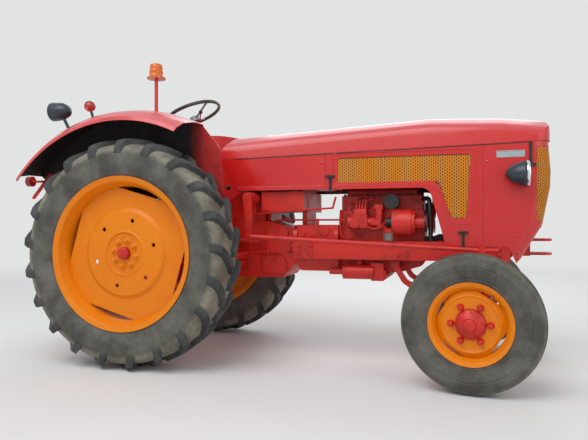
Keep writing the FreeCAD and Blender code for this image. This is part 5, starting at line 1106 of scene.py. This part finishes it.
def welt(low_x, high_x, half, corner, place):
    """The piping round a pad's face: a rectangle with its corners cut, stood where place puts it."""
    flat = [(low_x + corner, -half), (high_x - corner, -half), (high_x, -half + corner),
            (high_x, half - corner), (high_x - corner, half), (low_x + corner, half),
            (low_x, half - corner), (low_x, -half + corner)]
    places = []
    for first, second in zip(flat, flat[1:] + flat[:1]):
        places += [place(*first), place((first[0] + second[0]) / 2, (first[1] + second[1]) / 2)]
    return tube(places, WELT, 6, closed=True)


welts = joined([welt(-420, -80, 198, 22, lambda x, y: at(x, y, 1284)),
                welt(0, 170, 198, 22, lambda up, y: at(-409 - up * 0.225, y, 1315 + up))])
show("seat_welts", welts, SEAT_VINYL, 60, body_of["seat_cushion"], slot_of["seat_cushion"])


# Steering wheel, column, levers and pedals: steel rod and tube, with moulded knobs.
# The wheel's rim is hard rubber over a steel ring, and its spokes are bare grey steel.

RIM_RUBBER = moulded_plastic("rim_rubber", "#3A2F2C", "#5E524C", 0.42)
GREY_STEEL = bare_steel("spoke_steel", "#8F9196", "#6A625C", 0.4)
hub_centre = at(116, 0, 1688)
wheel_axis = Vector((-0.36488, 0, 0.93106))
RIM_FROM = 0.188


def on_rim(face):
    """Whether a face of the steering wheel is on its rim."""
    offset = face.center - hub_centre
    return (offset - wheel_axis * offset.dot(wheel_axis)).length > RIM_FROM


def on_column_knob(face):
    """Whether a face of the column is on the knob of its lever."""
    return face.center.y < -0.1 and face.center.z > 1.66


def on_lever_knob(face):
    """Whether a face of the controls is on a lever's knob."""
    return face.center.z > 1.168 and face.center.y > 0


dress("steering_wheel", GREY_STEEL, 0.001, 60, (RIM_RUBBER, on_rim))
dress("steering_column", CASTING_RED, 0.001, 50, (HOSE_RUBBER, on_column_knob))
dress("controls", CASTING_RED, 0.001, 50, (HOSE_RUBBER, on_lever_knob))
hub_button = placed(lathe([(0, 0.03), (0.006, 0.03), (0.012, 0.022), (0.014, 0)], 24), wheel_axis,
                    hub_centre + wheel_axis * 0.008)
show("hub_button", hub_button, GREY_STEEL, 40, body_of["steering_wheel"], slot_of["steering_wheel"])


# Lamps: enamelled steel bowls with ribbed lenses, and the flashing beacon's moulded dome.
# The headlamps sit on arms from the nose, the others on studs along the right fender.

LAMP_BLACK = moulded_plastic("lamp_enamel", "#28323A", "#4E565C", 0.3)
LAMP_GLASS = glass("lamp_glass", "#DADFDE", 0.08)
RED_LENS = glass("red_lens", "#C8201A", 0.12)
AMBER_DOME = glass("amber_dome", "#F07A1A", 0.2, 0.3)
# Chromium plate on the lamps' rims: bright, bluish, faintly pitted.
CHROME = coated("chrome_plate", "#DADDE0", [("#6E6A66", 0.5, 0.004, 0.55, 0.8, 6.0)],
                {"Metallic": 1.0, "Roughness": (0, 0.12, 0.4)})
FLUTE_DEPTH, FLUTE_PITCH = 0.0009, 0.007


def fluted_lens(radius, bulge, depth):
    """A lens about Z with upright flutes, domed outwards by bulge."""
    form = bmesh.new()
    rings, steps = 14, 72
    rows = []
    for ring in range(1, rings + 1):
        out = radius * ring / rings
        row = []
        for step in range(steps):
            turn = math.tau * step / steps
            across = out * math.cos(turn)
            flute = FLUTE_DEPTH * math.cos(across / FLUTE_PITCH * math.tau) if ring < rings else 0
            height = bulge * (1 - (out / radius) ** 2) + flute
            row.append(form.verts.new((across, out * math.sin(turn), height)))
        rows.append(row)
    middle = form.verts.new((0, 0, bulge))
    for step in range(steps):
        form.faces.new((middle, rows[0][step], rows[0][(step + 1) % steps]))
    rows.append([form.verts.new((vertex.co.x, vertex.co.y, -depth)) for vertex in rows[-1]])
    for low, high in zip(rows, rows[1:]):
        for step in range(steps):
            after = (step + 1) % steps
            form.faces.new((low[step], high[step], high[after], low[after]))
    form.faces.new(rows[-1][::-1])
    return mesh_of(form)


LAMP_SHELL = [(0.0005, 0), (0.0005, 0.020), (0.004, 0.024), (0.030, 0.047), (0.060, 0.0605), (0.088, 0.071),
              (0.104, 0.0745), (0.106, 0.0735), (0.112, 0.0738), (0.112, 0.060), (0.112, 0)]
LAMP_RIM = [(0.109, 0.070), (0.109, 0.0775), (0.112, 0.0788), (0.120, 0.0788), (0.1245, 0.0765),
            (0.1262, 0.0715), (0.1240, 0.0690), (0.116, 0.0690)]
ARM = [(0, 0.016), (0.003, 0.019), (0.008, 0.019), (0.011, 0.013), (0.05, 0.012), (0.052, 0)]
lamp_x, arm_x, lamp_y, lamp_z, lens_ahead = 2272, 2319, 385, 1195, Vector((0.1185, 0, 0))
feet = [at(lamp_x, side * lamp_y, lamp_z) for side in (-1, 1)]
shells = [placed(lathe(LAMP_SHELL, 48), (1, 0, 0), foot) for foot in feet]
rims = [placed(lathe(LAMP_RIM, 48, True), (1, 0, 0), foot) for foot in feet]
lenses = [placed(fluted_lens(0.0692, 0.006, 0.004), (1, 0, 0), foot + lens_ahead) for foot in feet]
arms = [placed(lathe(ARM, 24), (0, side, 0), at(arm_x, side * 289, lamp_z)) for side in (-1, 1)]
show("headlamp_shells", joined(shells), LAMP_BLACK, 40, "chassis", slot_of["headlamps"], "headlamps")
show("headlamp_rims", joined(rims), CHROME, 40, "chassis", "steel")
show("headlamp_lenses", joined(lenses), LAMP_GLASS, 40, "chassis", "steel")
show("headlamp_arms", joined(arms), LAMP_BLACK, 40, "chassis", slot_of["headlamps"])


def red_glass(face):
    """Whether a face of the fenders' lamps is red glass: the side lamp's dome or a tail lamp."""
    dome = not behind(face, -420) and face.center.y < -0.565 and face.center.z > 1.658
    return dome or (behind(face, -860) and face.center.z > 1.165)


def bare_bar(face):
    """Whether a face belongs to the tail lamps' bars, which are painted with the fenders."""
    return behind(face, -700) and face.center.z < 1.3 and not red_glass(face)


dress("fender_lamps", LAMP_BLACK, 0.002, 50, (RED_LENS, red_glass), (CASTING_RED, bare_bar))
dress("beacon_pole", BODY_RED, 0.001)
dome = lathe([(0.0005, 0), (0.0005, 0.061), (0.003, 0.0618), (0.008, 0.0615), (0.012, 0.054),
              (0.016, 0.0465), (0.030, 0.0458), (0.032, 0.0445), (0.034, 0.0458), (0.046, 0.0455),
              (0.048, 0.044), (0.050, 0.0455), (0.056, 0.0455), (0.060, 0.043), (0.063, 0.0425),
              (0.066, 0.0438), (0.090, 0.0418), (0.0945, 0.0385), (0.0975, 0.032), (0.0995, 0.02),
              (0.0995, 0)], 48)
dome.transform(Matrix.Translation(at(96, -520, 1867)))
show("beacon_dome", dome, AMBER_DOME, 35, body_of["beacon"], slot_of["beacon"], "beacon")


# Setting: a plain pale floor, soft studio light and the camera of the photograph.

PALE = hex_colour("#E2E4E4")


def seen_rays(tree):
    """One for rays from the camera, a mirror or glass, and nought for the light itself."""
    ray = add_node(tree, "ShaderNodeLightPath").outputs
    seen = ray["Is Camera Ray"]
    for kind in ("Is Glossy Ray", "Is Transmission Ray"):
        seen = add_node(tree, "ShaderNodeMath", {"operation": "MAXIMUM"}, {0: seen, 1: ray[kind]}).outputs[0]
    return seen


reach = 40
floor_mesh = bpy.data.meshes.new("floor")
floor_mesh.from_pydata([(-reach, -reach, 0), (reach, -reach, 0), (reach, reach, 0), (-reach, reach, 0)],
                       [], [(0, 1, 2, 3)])
floor = bpy.data.objects.new("floor", floor_mesh)
bpy.context.scene.collection.objects.link(floor)
# Matt floor paint, which fades far off into the background's own colour.
material, tree, shader, place = new_material("floor_paint")
shader.inputs["Base Color"].default_value = hex_colour("#E6E6E4")
shader.inputs["Roughness"].default_value = 0.9
far = add_node(tree, "ShaderNodeVectorMath", {"operation": "LENGTH"}, {0: place}).outputs["Value"]
far = add_node(tree, "ShaderNodeMapRange", {"clamp": True, "interpolation_type": "SMOOTHSTEP"},
               {"Value": far, "From Min": 3.5, "From Max": 11.0}).outputs["Result"]
pale = add_node(tree, "ShaderNodeEmission", None, {"Color": PALE, "Strength": 1.0})
fade = add_node(tree, "ShaderNodeMixShader", None,
                {0: times(tree, far, seen_rays(tree)), 1: shader.outputs[0], 2: pale.outputs[0]})
tree.links.new(fade.outputs[0], tree.nodes["Material Output"].inputs["Surface"])
floor_mesh.materials.append(material)

lamp_aim, lamp_size = Vector((0, 0, 0.8)), 6.0
for name, place, power in (("key_lamp", (-1.5, -5.5, 7.0), 400), ("fill_lamp", (6.0, -4.5, 3.5), 120),
                           ("back_lamp", (0.0, 6.0, 6.0), 240)):
    data = bpy.data.lights.new(name, "AREA")
    data.size = lamp_size
    data.energy = power
    lamp = bpy.data.objects.new(name, data)
    bpy.context.scene.collection.objects.link(lamp)
    lamp.location = place
    lamp.rotation_mode = "QUATERNION"
    lamp.rotation_quaternion = (lamp_aim - Vector(place)).to_track_quat("-Z", "Y")

# A world that lights softly and shows a plain pale background to camera, mirror and glass.
world = bpy.data.worlds.new("sky")
world.use_nodes = True
sky = world.node_tree.nodes["Background"]
sky.inputs["Color"].default_value = hex_colour("#E6EAF0")
sky.inputs["Strength"].default_value = 0.55
plain = add_node(world.node_tree, "ShaderNodeBackground", None, {"Color": PALE, "Strength": 1.0})
choice = add_node(world.node_tree, "ShaderNodeMixShader", None,
                  {0: seen_rays(world.node_tree), 1: sky.outputs[0], 2: plain.outputs[0]})
world.node_tree.links.new(choice.outputs[0], world.node_tree.nodes["World Output"].inputs["Surface"])
bpy.context.scene.world = world

camera_data = bpy.data.cameras.new("camera")
camera_data.sensor_width = 36
camera_data.lens = 34.9
camera_data.clip_end = 200
camera = bpy.data.objects.new("camera", camera_data)
bpy.context.scene.collection.objects.link(camera)
camera.location = (1.2349, -3.8547, 0.9034)
camera.rotation_mode = "QUATERNION"
camera.rotation_quaternion = Vector((-0.2900, 0.9570, 0.0087)).to_track_quat("-Z", "Y")
bpy.context.scene.camera = camera

bpy.context.scene.view_settings.view_transform = "Standard"
